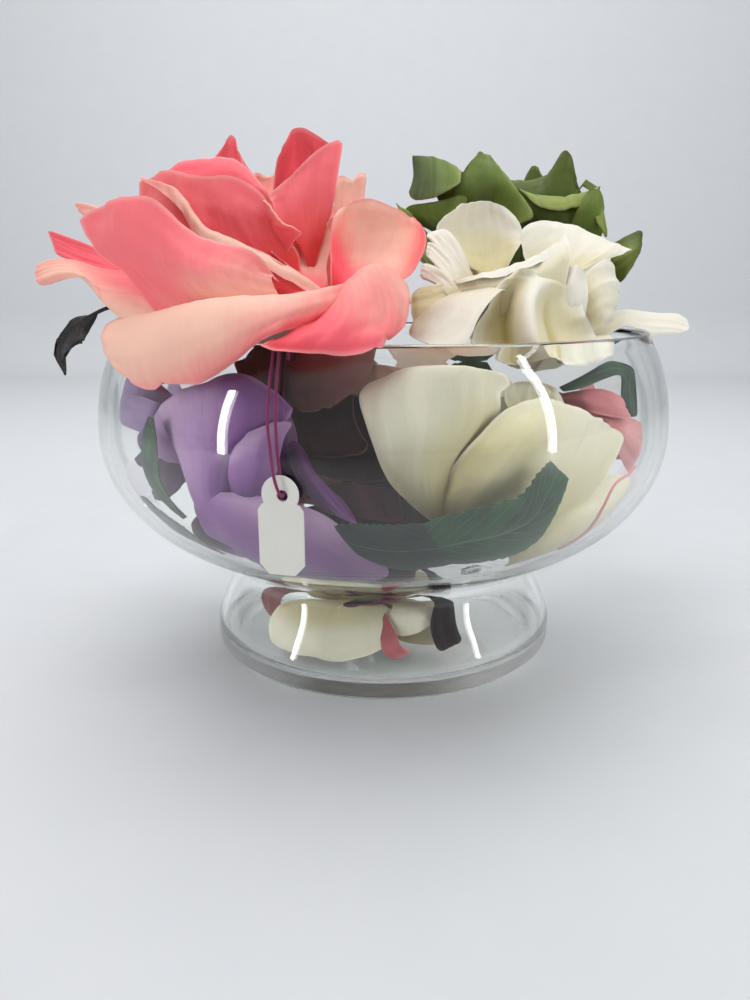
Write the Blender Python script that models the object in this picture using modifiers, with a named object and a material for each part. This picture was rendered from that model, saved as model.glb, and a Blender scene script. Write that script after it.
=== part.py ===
"""A footed glass bowl filled with artificial roses, with loose leaves and a blank string tag.

Metres, +Z up. The origin is the middle of the flat underside of the bowl's foot, and -Y is
the side that the arrangement is seen from.
"""

import math

import bmesh
import bpy
import numpy as np
from mathutils import Matrix, Vector

MM = 0.001

# The bowl, in millimetres: outer wall as radius and height, from the foot up to the lip
OUTER_WALL = (
    (60.3, 5.5), (59.9, 11.0), (57.2, 18.0), (53.9, 25.0), (52.9, 29.5), (56.8, 33.8), (65.5, 38.4),
    (75.5, 44.0), (84.8, 52.2), (91.6, 62.6), (94.6, 72.5), (95.0, 80.0), (94.1, 90.0), (91.4, 100.0),
    (87.2, 109.0),
)
WALL = 2.4
FLOOR = 5.0
FOOT_FLAT_RADIUS = 56.5
BOWL_STEPS = 36

# The blades and what keeps pieces clear of each other, in millimetres
PETAL_THICKNESS = 0.8
LEAF_THICKNESS = 0.7
ROSE_TO_GLASS = 1.55
LEAF_TO_GLASS = 1.4
ROSE_UNDER_LEAF = 2.0
OVER_THE_GLASS = 1.6
ROSE_TO_ROSE = 0.55
PLAIN_GRID = (3, 2)

# The tag and its thread, in millimetres
TAG_MIDDLE = (-25.0, -93.75, 66.5)
TAG_TURN = -15.0
TAG_WIDTH = 11.6
TAG_HEIGHT = 25.0
TAG_THICKNESS = 0.7
TAG_HOLE_DIAMETER = 3.0
THREAD_DIAMETER = 0.8

# The small rings of wire, in millimetres
WIRE_DIAMETER = 0.9
WIRE_TO_GLASS = 1.5


def smooth_path(points, steps):
    """A Catmull-Rom curve through the points, with this many steps between each two."""
    p = np.array(points, float)
    p = np.vstack([2 * p[0] - p[1], p, 2 * p[-1] - p[-2]])
    curve = []
    for i in range(1, len(p) - 2):
        a, b, c, d = p[i - 1 : i + 3]
        for t in np.arange(steps) / steps:
            square, cube = 2 * a - 5 * b + 4 * c - d, 3 * b - 3 * c + d - a
            curve.append(0.5 * (2 * b + (c - a) * t + square * t**2 + cube * t**3))
    curve.append(p[-2])
    return np.array(curve)


def offset_inward(outer):
    """The outer wall moved in by the wall's thickness, down to just above the floor."""
    slope = np.gradient(outer, axis=0)
    slope /= np.linalg.norm(slope, axis=1)[:, None]
    inner = outer + WALL * np.stack([-slope[:, 1], slope[:, 0]], 1)
    return inner[inner[:, 1] > FLOOR + 2.5]


OUTER_CURVE = smooth_path(OUTER_WALL, 3)
INNER_CURVE = offset_inward(OUTER_CURVE)
RIM_TO_BELLY = ((85.9, 109.0), (90.2, 99.6), (92.9, 89.8), (93.8, 80.0), (93.4, 72.7), (90.4, 63.0))
WALL_MIDDLE = smooth_path(RIM_TO_BELLY, 4)


def inside_radius(z, clear=0.0):
    """The inner face's radius at height z, or that of a surface this far inside it."""
    radii, heights = INNER_CURVE.T
    slope = np.interp(z + 1, heights, radii) - np.interp(z - 1, heights, radii)
    return np.interp(z, heights, radii) - clear * np.sqrt(1 + (slope / 2) ** 2)


def soft_limit(x, limit, width):
    """x where it is well under the limit, and nearer and nearer to the limit beyond that."""
    near = limit - width
    return np.where(x > near, limit - width * np.exp(-np.maximum(x - near, 0) / width), x)


def smooth_step(x, low, high):
    t = np.clip((x - low) / (high - low), 0, 1)
    return t * t * (3 - 2 * t)


def unit(v):
    return v / np.maximum(np.linalg.norm(v, axis=-1, keepdims=True), 1e-9)


def through(points, t):
    """Points of a smooth curve through points, or through rows of points, at t from 0 to 1 along it."""
    gaps = np.linalg.norm(np.diff(points, axis=0), axis=-1).reshape(len(points) - 1, -1).mean(axis=1)
    knots = np.concatenate([[0], np.cumsum(gaps)]) / gaps.sum()
    slopes = np.gradient(points, knots, axis=0, edge_order=min(2, len(points) - 1))
    i = np.clip(np.searchsorted(knots, t, side="right") - 1, 0, len(points) - 2)
    first, last = (i,), (i + 1,)
    if points.ndim > 2:
        each = np.arange(len(t))
        first, last = (i, each), (i + 1, each)
    span = (knots[i + 1] - knots[i])[:, None]
    s = (t - knots[i])[:, None] / span
    start = (1 + 2 * s) * (1 - s) ** 2 * points[first] + s * (1 - s) ** 2 * span * slopes[first]
    return start + s * s * (3 - 2 * s) * points[last] - s * s * (1 - s) * span * slopes[last]


class Patch:
    """A petal by rows of points, from near its root to its rim, each row from one edge to the other."""

    def __init__(self, *rows):
        self.rows = [np.array(row, float) for row in rows]
        self.grid = (len(rows), max(2, len(rows[0]) - 1))

    def start_from(self, root, axis, heart):
        """Adds the narrow row that joins the petal to the rose's heart."""
        middle = self.rows[0].mean(axis=0)
        out = middle - root
        out = out - (out @ axis) * axis
        start = root + out * min(0.35, 0.7 * heart / np.linalg.norm(out))
        self.rows.insert(0, start + (self.rows[0] - middle) * 0.2)

    def surface(self, u, v, eye):
        """Points of the middle surface, for u from -1 to 1 across and v from 0 to 1 along."""
        lines = np.stack([through(row, (u + 1) / 2) for row in self.rows])
        return through(lines, v * (1 - 0.035 * np.abs(u) ** 8))


class Petal:
    """A petal or leaf along a path from its root to its tip, all in millimetres.

    across runs from one edge to the other where the petal is widest. cup bends both edges
    toward the rose's eye, and point narrows the tip.
    """

    def __init__(self, path, across, cup=0.5, point=0.0, grid=PLAIN_GRID):
        self.path, self.across = np.array(path, float), np.array(across, float)
        self.cup, self.point, self.grid = cup, point, grid

    def start_from(self, root, axis, heart):
        """Moves the path's start from the rose's root to the side of its heart."""
        if np.allclose(self.path[0], root):
            out = self.path[1] - root
            out = out - (out @ axis) * axis
            self.path[0] = root + out * min(0.35, 0.7 * heart / np.linalg.norm(out))

    def surface(self, u, v, eye):
        """Points of the middle surface, for u from -1 to 1 across and v from 0 to 1 along."""
        curve = smooth_path(self.path, 12)
        steps = np.concatenate([[0], np.cumsum(np.linalg.norm(np.diff(curve, axis=0), axis=1))])
        steps /= steps[-1]
        edge = np.abs(u)
        t = v * (1 - 0.24 * edge**2.4 - self.point * np.minimum(1, 1.5 * edge))
        spine = np.stack([np.interp(t, steps, curve[:, k]) for k in range(3)], -1)
        slope = np.gradient(curve, axis=0)
        along = unit(np.stack([np.interp(t, steps, slope[:, k]) for k in range(3)], -1))
        side = unit(self.across - (along @ self.across)[:, None] * along)
        inward = np.cross(side, along)
        middle = len(curve) // 2
        ahead = unit(slope[middle])
        if np.dot(np.cross(self.across, ahead), eye - curve[middle]) < 0:
            inward = -inward
        width = np.linalg.norm(self.across)
        half = 0.5 * width * (0.14 + 0.86 * np.sin(np.minimum(v / 0.68, 1) * math.pi / 2))
        half = half * (1 - 0.16 * np.maximum(0, v / 0.32 - 2.125) ** 2 - self.point * np.maximum(0, v - 0.5))
        arc = self.cup * (1.3 - 0.6 * v) + 1e-6
        lift = half * (1 - np.cos(u * arc)) / arc
        return spine + side * (half * np.sin(u * arc) / arc)[:, None] + inward * lift[:, None]


class Rose:
    """A rose head: its root, the eye that its petals close round, and its cell among the others."""

    def __init__(self, name, root, eye, middle, reach, heart, petals, colour, over_rim=False):
        self.name, self.heart, self.colour, self.over_rim = name, heart, colour, over_rim
        self.root, self.eye, self.middle = (np.array(p, float) for p in (root, eye, middle))
        self.reach, self.petals = reach, petals
        axis = unit(self.eye - self.root)
        for petal in petals:
            petal.start_from(self.root, axis, heart)

    def placed(self, points):
        """Points in the bowl, bent clear of the other roses and of the glass."""
        p = points
        for _ in range(2):
            p = self.clear_of_roses(p)
            p = clear_of_glass(p, self.over_rim)
        return p - (0, 0, SETTLED.get(self.name, 0.0))

    def clear_of_roses(self, p):
        for other in ROSES:
            if other is self:
                continue
            point, normal = boundary(self, other)
            held = 1.0
            if self.over_rim and not other.over_rim:
                edge = HELD_TO.get(other.name, 80.0)
                held = 1 - smooth_step(np.hypot(p[:, 0], p[:, 1]), edge, edge + 6.0)
            s = (p - point) @ normal
            p = p + (held * (soft_limit(s, -ROSE_TO_ROSE, 4.0) - s))[:, None] * normal
        return p


def boundary(rose, other):
    """A point of the flat bound between two roses, and its normal toward the other one."""
    for (first, second), (point, normal) in BOUNDS.items():
        if (first, second) == (rose.name, other.name):
            return np.array(point, float), unit(np.array(normal, float))
        if (second, first) == (rose.name, other.name):
            return np.array(point, float), -unit(np.array(normal, float))
    between = other.middle - rose.middle
    share = rose.reach / (rose.reach + other.reach)
    return rose.middle + share * between, unit(between)


def clear_of_glass(p, over_rim):
    """Keeps points inside the bowl or, on a rose that lies over the rim, off both faces of the wall."""
    radius, z = np.hypot(p[:, 0], p[:, 1]), p[:, 2]
    if over_rim:
        flat = np.stack([radius, z], 1)
        away = flat[:, None, :] - WALL_MIDDLE[None, :, :]
        distance = np.linalg.norm(away, axis=2)
        nearest = distance.argmin(axis=1)
        rows = np.arange(len(p))
        gap, direction = distance[rows, nearest], unit(away[rows, nearest])
        kept = -soft_limit(-gap, -(WALL / 2 + OVER_THE_GLASS), 2.0)
        flat = WALL_MIDDLE[nearest] + direction * kept[:, None]
        new_radius, new_z = flat[:, 0], flat[:, 1]
    else:
        new_z = -soft_limit(-z, -(FLOOR + 0.8), 3.0)
        new_radius = soft_limit(radius, inside_radius(new_z, ROSE_TO_GLASS + leaf_room(p)), 5.0)
    scale = new_radius / np.maximum(radius, 1e-6)
    return np.stack([p[:, 0] * scale, p[:, 1] * scale, new_z], 1)


def leaf_room(p):
    """How much further from the glass a rose stays at these points, to leave room for the leaves."""
    room = np.zeros(len(p))
    bearing = np.degrees(np.arctan2(p[:, 0], -p[:, 1]))
    u, v = (g.reshape(-1) for g in np.meshgrid(np.linspace(-1, 1, 5), np.linspace(0, 1, 7)))
    for rows in LEAVES.values():
        leaf = leaf_surface(rows, u, v)
        turn = (bearing[:, None] - leaf[None, :, 0] + 180) % 360 - 180
        distance = np.hypot(np.radians(turn) * 85, p[:, 2, None] - leaf[None, :, 1]).min(axis=1)
        room = np.maximum(room, ROSE_UNDER_LEAF * (1 - smooth_step(distance, 6, 14)))
    return room


def leaf_rows(path, width):
    """Rows across a plain leaf, from its width and its midrib's bearings and heights."""
    rib = smooth_path(path, 2)
    slope = unit(np.gradient(rib * (math.radians(85), 1), axis=0))
    v = np.linspace(0.0, 0.98, len(rib))
    half = 0.5 * width * (0.1 + 0.9 * np.sin(math.pi * (v + 0.02) ** 0.8) ** 0.8)
    side = np.stack([slope[:, 1] / math.radians(85), -slope[:, 0]], -1) * half[:, None]
    return tuple(zip(rib - side, rib, rib + side))


def leaf_surface(rows, u, v):
    """Bearings and heights on a leaf, for u from -1 to 1 across and v from 0 to 1 along."""
    lines = np.stack([through(np.array(row, float), (u + 1) / 2) for row in rows])
    return through(lines, v)


def on_wall(bearing, radius, z):
    """A point from its bearing in degrees (0 at the front, 90 to the right), its radius and its height."""
    a = np.radians(bearing)
    return np.stack([radius * np.sin(a), -radius * np.cos(a), z * np.ones_like(a)], -1)


def wall_leaf(rows):
    """The placing function of a leaf along the bowl's inner face."""

    def place(u, v):
        bearing, z = leaf_surface(rows, u, v).T
        z = np.maximum(z, 38.0)
        return on_wall(bearing, inside_radius(z, LEAF_TO_GLASS), z)

    return place


def grid_mesh(rows, columns, place):
    """A triangulated grid whose points place(u, v) gives in millimetres."""
    bm = bmesh.new()
    bmesh.ops.create_grid(bm, x_segments=columns, y_segments=rows, size=1.0)
    flat = np.array([v.co for v in bm.verts], float)
    for vertex, co in zip(bm.verts, place(flat[:, 0], (flat[:, 1] + 1) / 2) * MM):
        vertex.co = co
    bmesh.ops.triangulate(bm, faces=bm.faces[:], quad_method="ALTERNATE")
    mesh = bpy.data.meshes.new("blade")
    bm.to_mesh(mesh)
    bm.free()
    return mesh


def blade(name, thickness, rows, columns, place):
    """A thin closed blade, with the same triangles on both of its faces."""
    made = bpy.data.objects.new(name, grid_mesh(rows, columns, place))
    thick = made.modifiers.new("Thickness", "SOLIDIFY")
    thick.thickness = thickness * MM
    thick.offset = 0
    return made


def heart_of(rose):
    """The closed heart that every petal is rooted in."""
    bm = bmesh.new()
    bmesh.ops.create_uvsphere(bm, u_segments=8, v_segments=5, radius=rose.heart)
    ball = np.array([v.co for v in bm.verts], float)
    axis = unit(rose.eye - rose.root)
    ball = ball + (ball @ axis * 0.5)[:, None] * axis + rose.root + axis * rose.heart * 0.5
    for vertex, co in zip(bm.verts, rose.placed(ball) * MM):
        vertex.co = co
    bmesh.ops.triangulate(bm, faces=bm.faces[:])
    mesh = bpy.data.meshes.new(rose.name)
    bm.to_mesh(mesh)
    bm.free()
    return bpy.data.objects.new(rose.name, mesh)


def evaluated_mesh(obj):
    bpy.context.view_layer.update()
    graph = bpy.context.evaluated_depsgraph_get()
    return bpy.data.meshes.new_from_object(obj.evaluated_get(graph))


def outer_shell(mesh):
    """Removes the shells that lie inside the body, where petals close round an empty pocket."""
    bm = bmesh.new()
    bm.from_mesh(mesh)
    bmesh.ops.triangulate(bm, faces=bm.faces[:])
    left, inner = set(bm.faces), []
    while left:
        shell, front = set(), [left.pop()]
        while front:
            face = front.pop()
            shell.add(face)
            for edge in face.edges:
                for near in edge.link_faces:
                    if near in left:
                        left.remove(near)
                        front.append(near)
        volume = sum(f.verts[0].co.dot(f.verts[1].co.cross(f.verts[2].co)) for f in shell) / 6
        if volume < MM**3:
            inner += shell
    bmesh.ops.delete(bm, geom=inner, context="FACES")
    bm.to_mesh(mesh)
    bm.free()


def joined(core, blades, parts):
    """The core with all the blades joined to it by one Boolean union."""
    gathered = bpy.data.collections.new(core.name + "_blades")
    bpy.context.scene.collection.children.link(gathered)
    for made in blades:
        gathered.objects.link(made)
    parts.objects.link(core)
    union = core.modifiers.new("Petals", "BOOLEAN")
    union.operation = "UNION"
    union.operand_type = "COLLECTION"
    union.collection = gathered
    union.solver = "MANIFOLD"
    core.data = evaluated_mesh(core)
    core.modifiers.clear()
    outer_shell(core.data)
    for made in blades:
        bpy.data.objects.remove(made)
    bpy.data.collections.remove(gathered)
    return core


def material(name, colour, roughness, transmission=0.0, metallic=0.0):
    made = bpy.data.materials.new(name)
    made.use_nodes = True
    shader = made.node_tree.nodes["Principled BSDF"]
    shader.inputs["Base Color"].default_value = (*colour, 1)
    shader.inputs["Roughness"].default_value = roughness
    shader.inputs["Metallic"].default_value = metallic
    shader.inputs["Transmission Weight"].default_value = transmission
    return made


def dressed(obj, made):
    obj.data.materials.clear()
    obj.data.materials.append(made)
    return obj


def rod(name, points, diameter, resolution=2):
    """A round stem or thread along the points, closed at both ends."""
    curve = bpy.data.curves.new(name, "CURVE")
    curve.dimensions = "3D"
    curve.bevel_depth = diameter / 2 * MM
    curve.bevel_resolution = resolution
    curve.use_fill_caps = True
    spline = curve.splines.new("POLY")
    spline.points.add(len(points) - 1)
    for point, place in zip(spline.points, points):
        point.co = (*(Vector(place) * MM), 1)
    return bpy.data.objects.new(name, curve)


def welded(curve_object, parts):
    """The curve's shape as a mesh object with its caps welded, so that it can be joined to another."""
    name = curve_object.name
    parts.objects.link(curve_object)
    mesh = evaluated_mesh(curve_object)
    bpy.data.objects.remove(curve_object)
    bm = bmesh.new()
    bm.from_mesh(mesh)
    bmesh.ops.remove_doubles(bm, verts=bm.verts[:], dist=0.001 * MM)
    bm.to_mesh(mesh)
    bm.free()
    return bpy.data.objects.new(name, mesh)


def wire_ring(name, bearing, height, radius, parts):
    """A small closed ring of wire that leans against the glass."""
    slope = (inside_radius(height + 1) - inside_radius(height - 1)) / 2
    out = on_wall(np.float64(bearing), 1.0, 0.0)
    bpy.ops.mesh.primitive_torus_add(
        major_segments=12, minor_segments=5, major_radius=radius * MM, minor_radius=WIRE_DIAMETER / 2 * MM
    )
    ring = bpy.context.object
    ring.name = name
    for collection in list(ring.users_collection):
        collection.objects.unlink(ring)
    parts.objects.link(ring)
    ring.location = Vector(on_wall(np.float64(bearing), inside_radius(height, WIRE_TO_GLASS), height)) * MM
    ring.rotation_euler = Vector((out[0], out[1], -slope)).to_track_quat("Z", "Y").to_euler()
    return ring


def tag_outline():
    """The tag's outline as (across, up) in millimetres, with a round head and clipped lower corners."""
    head, half, bottom, top = 4.7, TAG_WIDTH / 2, -TAG_HEIGHT / 2, TAG_HEIGHT / 2
    middle = top - head
    shoulder = middle - 3.4
    arc = [(head * math.cos(a), middle + head * math.sin(a)) for a in np.radians(np.arange(-30, 211, 20))]
    left = [(-half + 1.0, shoulder + 0.8), (-half, shoulder - 0.6)]
    left += [(-half, bottom + 2.6), (-half + 2.4, bottom)]
    right = [(-x, z) for x, z in reversed(left)]
    return right + arc + left


def price_tag(parts):
    """The blank tag, flat and upright just outside the glass, with its hole cut through."""
    top = TAG_HEIGHT / 2
    bm = bmesh.new()
    sheet = [bm.verts.new((x * MM, 0, z * MM)) for x, z in tag_outline()]
    face = bm.faces.new(sheet)
    pushed = bmesh.ops.extrude_face_region(bm, geom=[face])
    moved = [g for g in pushed["geom"] if isinstance(g, bmesh.types.BMVert)]
    bmesh.ops.translate(bm, verts=moved, vec=(0, TAG_THICKNESS * MM, 0))
    bmesh.ops.recalc_face_normals(bm, faces=bm.faces[:])
    mesh = bpy.data.meshes.new("price_tag")
    bm.to_mesh(mesh)
    bm.free()
    tag = bpy.data.objects.new("price_tag", mesh)
    parts.objects.link(tag)
    bm = bmesh.new()
    place = Matrix.Translation(Vector((0.6, 0, top - 4.9)) * MM) @ Matrix.Rotation(math.pi / 2, 4, "X")
    radius = TAG_HOLE_DIAMETER / 2 * MM
    bmesh.ops.create_cone(
        bm, cap_ends=True, segments=12, radius1=radius, radius2=radius, depth=8 * MM, matrix=place
    )
    punch_mesh = bpy.data.meshes.new("tag_punch")
    bm.to_mesh(punch_mesh)
    bm.free()
    punch = bpy.data.objects.new("tag_punch", punch_mesh)
    cutters = bpy.data.collections.new("cutters")
    cutters.hide_render = True
    bpy.context.scene.collection.children.link(cutters)
    cutters.objects.link(punch)
    punch.hide_render, punch.display_type = True, "WIRE"
    cut = tag.modifiers.new("Hole", "BOOLEAN")
    cut.object, cut.operation, cut.solver = punch, "DIFFERENCE", "EXACT"
    for made in (tag, punch):
        made.location = Vector(TAG_MIDDLE) * MM
        made.rotation_euler.z = math.radians(TAG_TURN)
    return dressed(tag, material("white_card", (0.80, 0.79, 0.74), 0.5))


def glass_bowl(parts):
    """The bowl and its hollow foot, turned in one piece from a closed profile."""
    lip = (OUTER_CURVE[-1] + INNER_CURVE[-1]) / 2 + (0.3, 0.75)
    inner_foot = INNER_CURVE[0][0]
    profile = [(0, FLOOR), (inner_foot - 5.0, FLOOR), (inner_foot - 1.4, FLOOR + 0.8)]
    profile += [tuple(q) for q in INNER_CURVE[:-2:3]]
    profile += [tuple(INNER_CURVE[-1]), tuple(lip), tuple(OUTER_CURVE[-1])]
    profile += [tuple(q) for q in OUTER_CURVE[-5::-4]]
    profile += [(59.7, 2.4), (FOOT_FLAT_RADIUS + 1.6, 0.7), (FOOT_FLAT_RADIUS, 0), (0, 0)]
    mesh = bpy.data.meshes.new("glass_bowl")
    edges = [(i, i + 1) for i in range(len(profile) - 1)]
    mesh.from_pydata([(r * MM, 0, z * MM) for r, z in profile], edges, [])
    bowl = bpy.data.objects.new("glass_bowl", mesh)
    parts.objects.link(bowl)
    turn = bowl.modifiers.new("Turn", "SCREW")
    turn.steps = BOWL_STEPS
    turn.render_steps = BOWL_STEPS
    turn.use_merge_vertices = True
    turn.merge_threshold = 0.00005
    turn.use_smooth_shade = True
    return dressed(bowl, material("clear_glass", (0.95, 0.98, 0.97), 0.02, transmission=1.0))


def opened_rose(root, axis, size, first, open_angle, inner=3, outer=4):
    """The petals of a plain round rose: a closed heart inside a ring that opens."""
    axis = Vector(axis).normalized()
    turn = np.array(axis.to_track_quat("Z", "Y").to_matrix())
    petals = []
    opening = [part * open_angle for part in (0.75, 0.95, 1.2)]
    rings = (
        (inner, first, 0.16, (8, 10, 24), 0.92, 0.80, 0.9, 22),
        (outer, first + 40, 0.20, opening, 1.08, 1.10, 0.5, 14),
    )
    for count, start, root_out, tilts, length, width, cup, tuck in rings:
        for i in range(count):
            a = math.radians(start + 360 * i / count)
            rho, rise, path = root_out * size, 0.0, []
            for tilt in (tilts[0], *tilts):
                path.append((rho, rise))
                rho += math.sin(math.radians(tilt)) * length * size / 3
                rise += math.cos(math.radians(tilt)) * length * size / 3
            local = np.array([(r * math.cos(a), r * math.sin(a), h) for r, h in path])
            b = a + math.radians(tuck)
            across = np.array([-math.sin(b), math.cos(b), 0]) * width * size
            petals.append(Petal(local @ turn.T + root, turn @ across, cup=cup, point=0.06))
    return petals


CORAL = (0.93, 0.20, 0.22)
IVORY = (0.88, 0.84, 0.66)
OLIVE = (0.20, 0.32, 0.08)
PURPLE = (0.27, 0.12, 0.42)
LILAC = (0.40, 0.30, 0.48)
DUSTY_PINK = (0.60, 0.28, 0.30)
BURGUNDY = (0.10, 0.02, 0.05)
MAUVE = (0.42, 0.24, 0.25)
LEAF_GREEN = (0.06, 0.14, 0.07)
DARK_LEAF = (0.02, 0.012, 0.014)


def coral_rose():
    c = (-30, -28, 100)
    return [
        Patch(
            ((-69, -50, 113), (-53, -60, 114), (-39, -66, 117), (-25, -68, 118), (-15, -60, 119)),
            ((-78, -44, 114), (-59, -62, 117), (-42, -76, 120), (-25, -80, 121), (-11, -66, 123)),
            ((-79, -50, 107), (-60, -72, 108), (-42, -86, 111), (-27, -89, 116), (-9, -70, 119)),
            ((-74, -58, 102), (-62, -70, 97), (-48, -80, 99), (-36, -87, 105), (-28, -90, 111),
             (-14, -80, 112)),
        ),
        Patch(
            ((-15, -54, 115), (-9, -50, 121), (-2, -46, 124), (4, -42, 122)),
            ((-17, -66, 115), (-10, -64, 124), (-2, -55, 129), (6, -46, 124)),
            ((-23, -84, 112), (-10, -85, 116), (0, -76, 118), (8, -54, 119)),
            ((-30, -92, 109), (-17, -93, 108), (-4, -90, 108), (5, -70, 114)),
        ),
        Patch(
            ((-15, -47, 122), (-10, -43, 123), (-3, -42, 124), (4, -42, 124)),
            ((-15, -42, 133), (-9, -31, 134), (1, -31, 134), (10, -46, 128)),
            ((-14, -38, 141), (-8, -27, 143), (3, -27, 142), (12, -46, 135)),
            ((-12, -32, 146), (-4, -26, 149), (5, -28, 145), (12, -39, 140)),
        ),
        Patch(
            ((-20, -48, 122), (-18, -47, 122), (-16, -45, 122)),
            ((-29, -44, 130), (-23, -36, 130), (-16, -34, 133)),
            ((-33, -43, 133), (-25, -34, 136), (-18, -30, 141), (-11, -27, 147)),
        ),
        Patch(
            ((-61, -56, 115), (-47, -64, 116), (-35, -66, 117), (-27, -62, 118)),
            ((-74, -44, 127), (-57, -60, 123), (-41, -70, 121), (-27, -66, 120)),
            ((-84, -38, 135), (-65, -56, 133), (-46, -68, 128), (-29, -66, 125)),
            ((-89, -32, 144), (-73, -44, 147), (-62, -52, 146), (-53, -58, 139), (-41, -62, 133),
             (-32, -64, 130), (-27, -62, 123)),
        ),
        Patch(
            ((-60, -46, 130), (-46, -53, 126), (-33, -56, 122), (-23, -58, 119)),
            ((-70, -36, 144), (-58, -47, 138), (-45, -55, 131), (-31, -58, 126), (-18, -59, 120)),
            ((-70, -35, 153), (-58, -44, 149), (-47, -52, 138), (-32, -56, 132), (-16, -58, 122)),
            ((-66, -39, 150), (-57, -48, 145), (-48, -56, 135), (-33, -60, 129), (-16, -61, 120)),
        ),
        Patch(
            ((-54, -40, 129), (-42, -43, 128), (-32, -43, 129), (-24, -41, 131)),
            ((-63, -34, 141), (-51, -40, 138), (-38, -42, 137), (-26, -41, 135)),
            ((-69, -29, 150), (-53, -37, 147), (-40, -41, 145), (-28, -41, 138)),
            ((-73, -24, 155), (-65, -28, 156), (-53, -34, 154), (-41, -38, 153), (-34, -40, 148),
             (-30, -42, 140), (-25, -42, 136)),
        ),
        Patch(
            ((-59, -26, 137), (-44, -30, 137), (-32, -32, 135)),
            ((-67, -18, 153), (-50, -22, 153), (-34, -30, 146)),
            ((-70, -13, 158), (-65, -12, 161), (-56, -13, 163), (-49, -15, 163), (-42, -20, 159),
             (-35, -28, 151), (-29, -34, 140)),
        ),
        Patch(
            ((-52, -6, 149), (-46, -6, 149), (-39, -10, 148)),
            ((-56, -1, 162), (-50, 2, 163), (-41, -3, 156)),
            ((-54, 1, 166), (-52, 2, 169), (-50, 3, 172), (-48, 2, 167), (-45, 1, 161)),
        ),
        Patch(
            ((-31, -26, 137), (-26, -22, 137), (-18, -22, 139)),
            ((-33, -22, 150), (-25, -13, 154), (-16, -16, 153)),
            ((-32, -19, 160), (-26, -11, 164), (-16, -14, 162)),
            ((-31, -18, 163), (-29, -16, 168), (-25, -13, 171), (-21, -13, 169), (-16, -16, 165)),
        ),
        Patch(
            ((-25, -38, 136), (-21, -36, 136), (-18, -33, 137)),
            ((-30, -38, 141), (-23, -34, 144), (-16, -28, 144)),
            ((-32, -36, 146), (-23, -31, 151), (-14, -25, 155)),
            ((-33, -34, 148), (-25, -29, 157), (-18, -23, 164), (-12, -19, 168)),
        ),
        Patch(
            ((-72, -24, 132), (-70, -30, 127), (-69, -36, 122)),
            ((-86, -16, 134), (-84, -22, 130), (-81, -28, 127)),
            ((-98, -12, 138), (-98, -14, 134), (-96, -18, 131)),
            ((-110, -8, 142), (-108, -9, 139), (-106, -12, 134)),
        ),
        Patch(
            ((-51, -46, 120), (-53, -54, 116), (-57, -56, 114)),
            ((-70, -32, 127), (-67, -48, 120), (-64, -56, 115)),
            ((-86, -24, 129), (-84, -38, 124), (-76, -48, 115)),
            ((-99, -22, 132), (-95, -29, 129), (-88, -36, 126)),
            ((-107, -22, 131), (-107, -26, 127), (-104, -29, 123)),
        ),
        Petal((c, (-59, -6, 132), (-74, 4, 146), (-79, 8, 153)), (27, 30, 12), cup=0.6),
        Petal((c, (-52, 8, 116), (-66, 26, 128), (-80, 34, 130)), (30, 34, 6), cup=0.4),
        Petal((c, (-30, 6, 118), (-32, 26, 136), (-36, 36, 142)), (44, 4, 0), cup=0.5),
        Petal((c, (-44, -4, 130), (-50, 8, 146), (-52, 14, 156)), (36, 16, 0), cup=0.8),
        Petal((c, (-18, -4, 128), (-14, 8, 144), (-12, 12, 152)), (30, -12, 0), cup=0.8),
        Petal((c, (-10, -4, 116), (-2, 10, 132), (2, 16, 138)), (22, -26, 0), 0.5),
    ]


# The dark curled leaf outside the rim, and its stem from under the coral rose
OUTER_STEM = (
    (-36, -30, 102), (-48, -34, 110), (-60, -38, 116), (-71, -39.5, 118), (-80, -40, 117.5), (-88, -40, 114),
)
OUTER_LEAF = Petal(
    ((-84, -40, 116), (-91, -40, 112), (-95.5, -41, 105), (-93.5, -43, 97.5)), (11, -5, 2), 0.8, point=0.3
)


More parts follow.
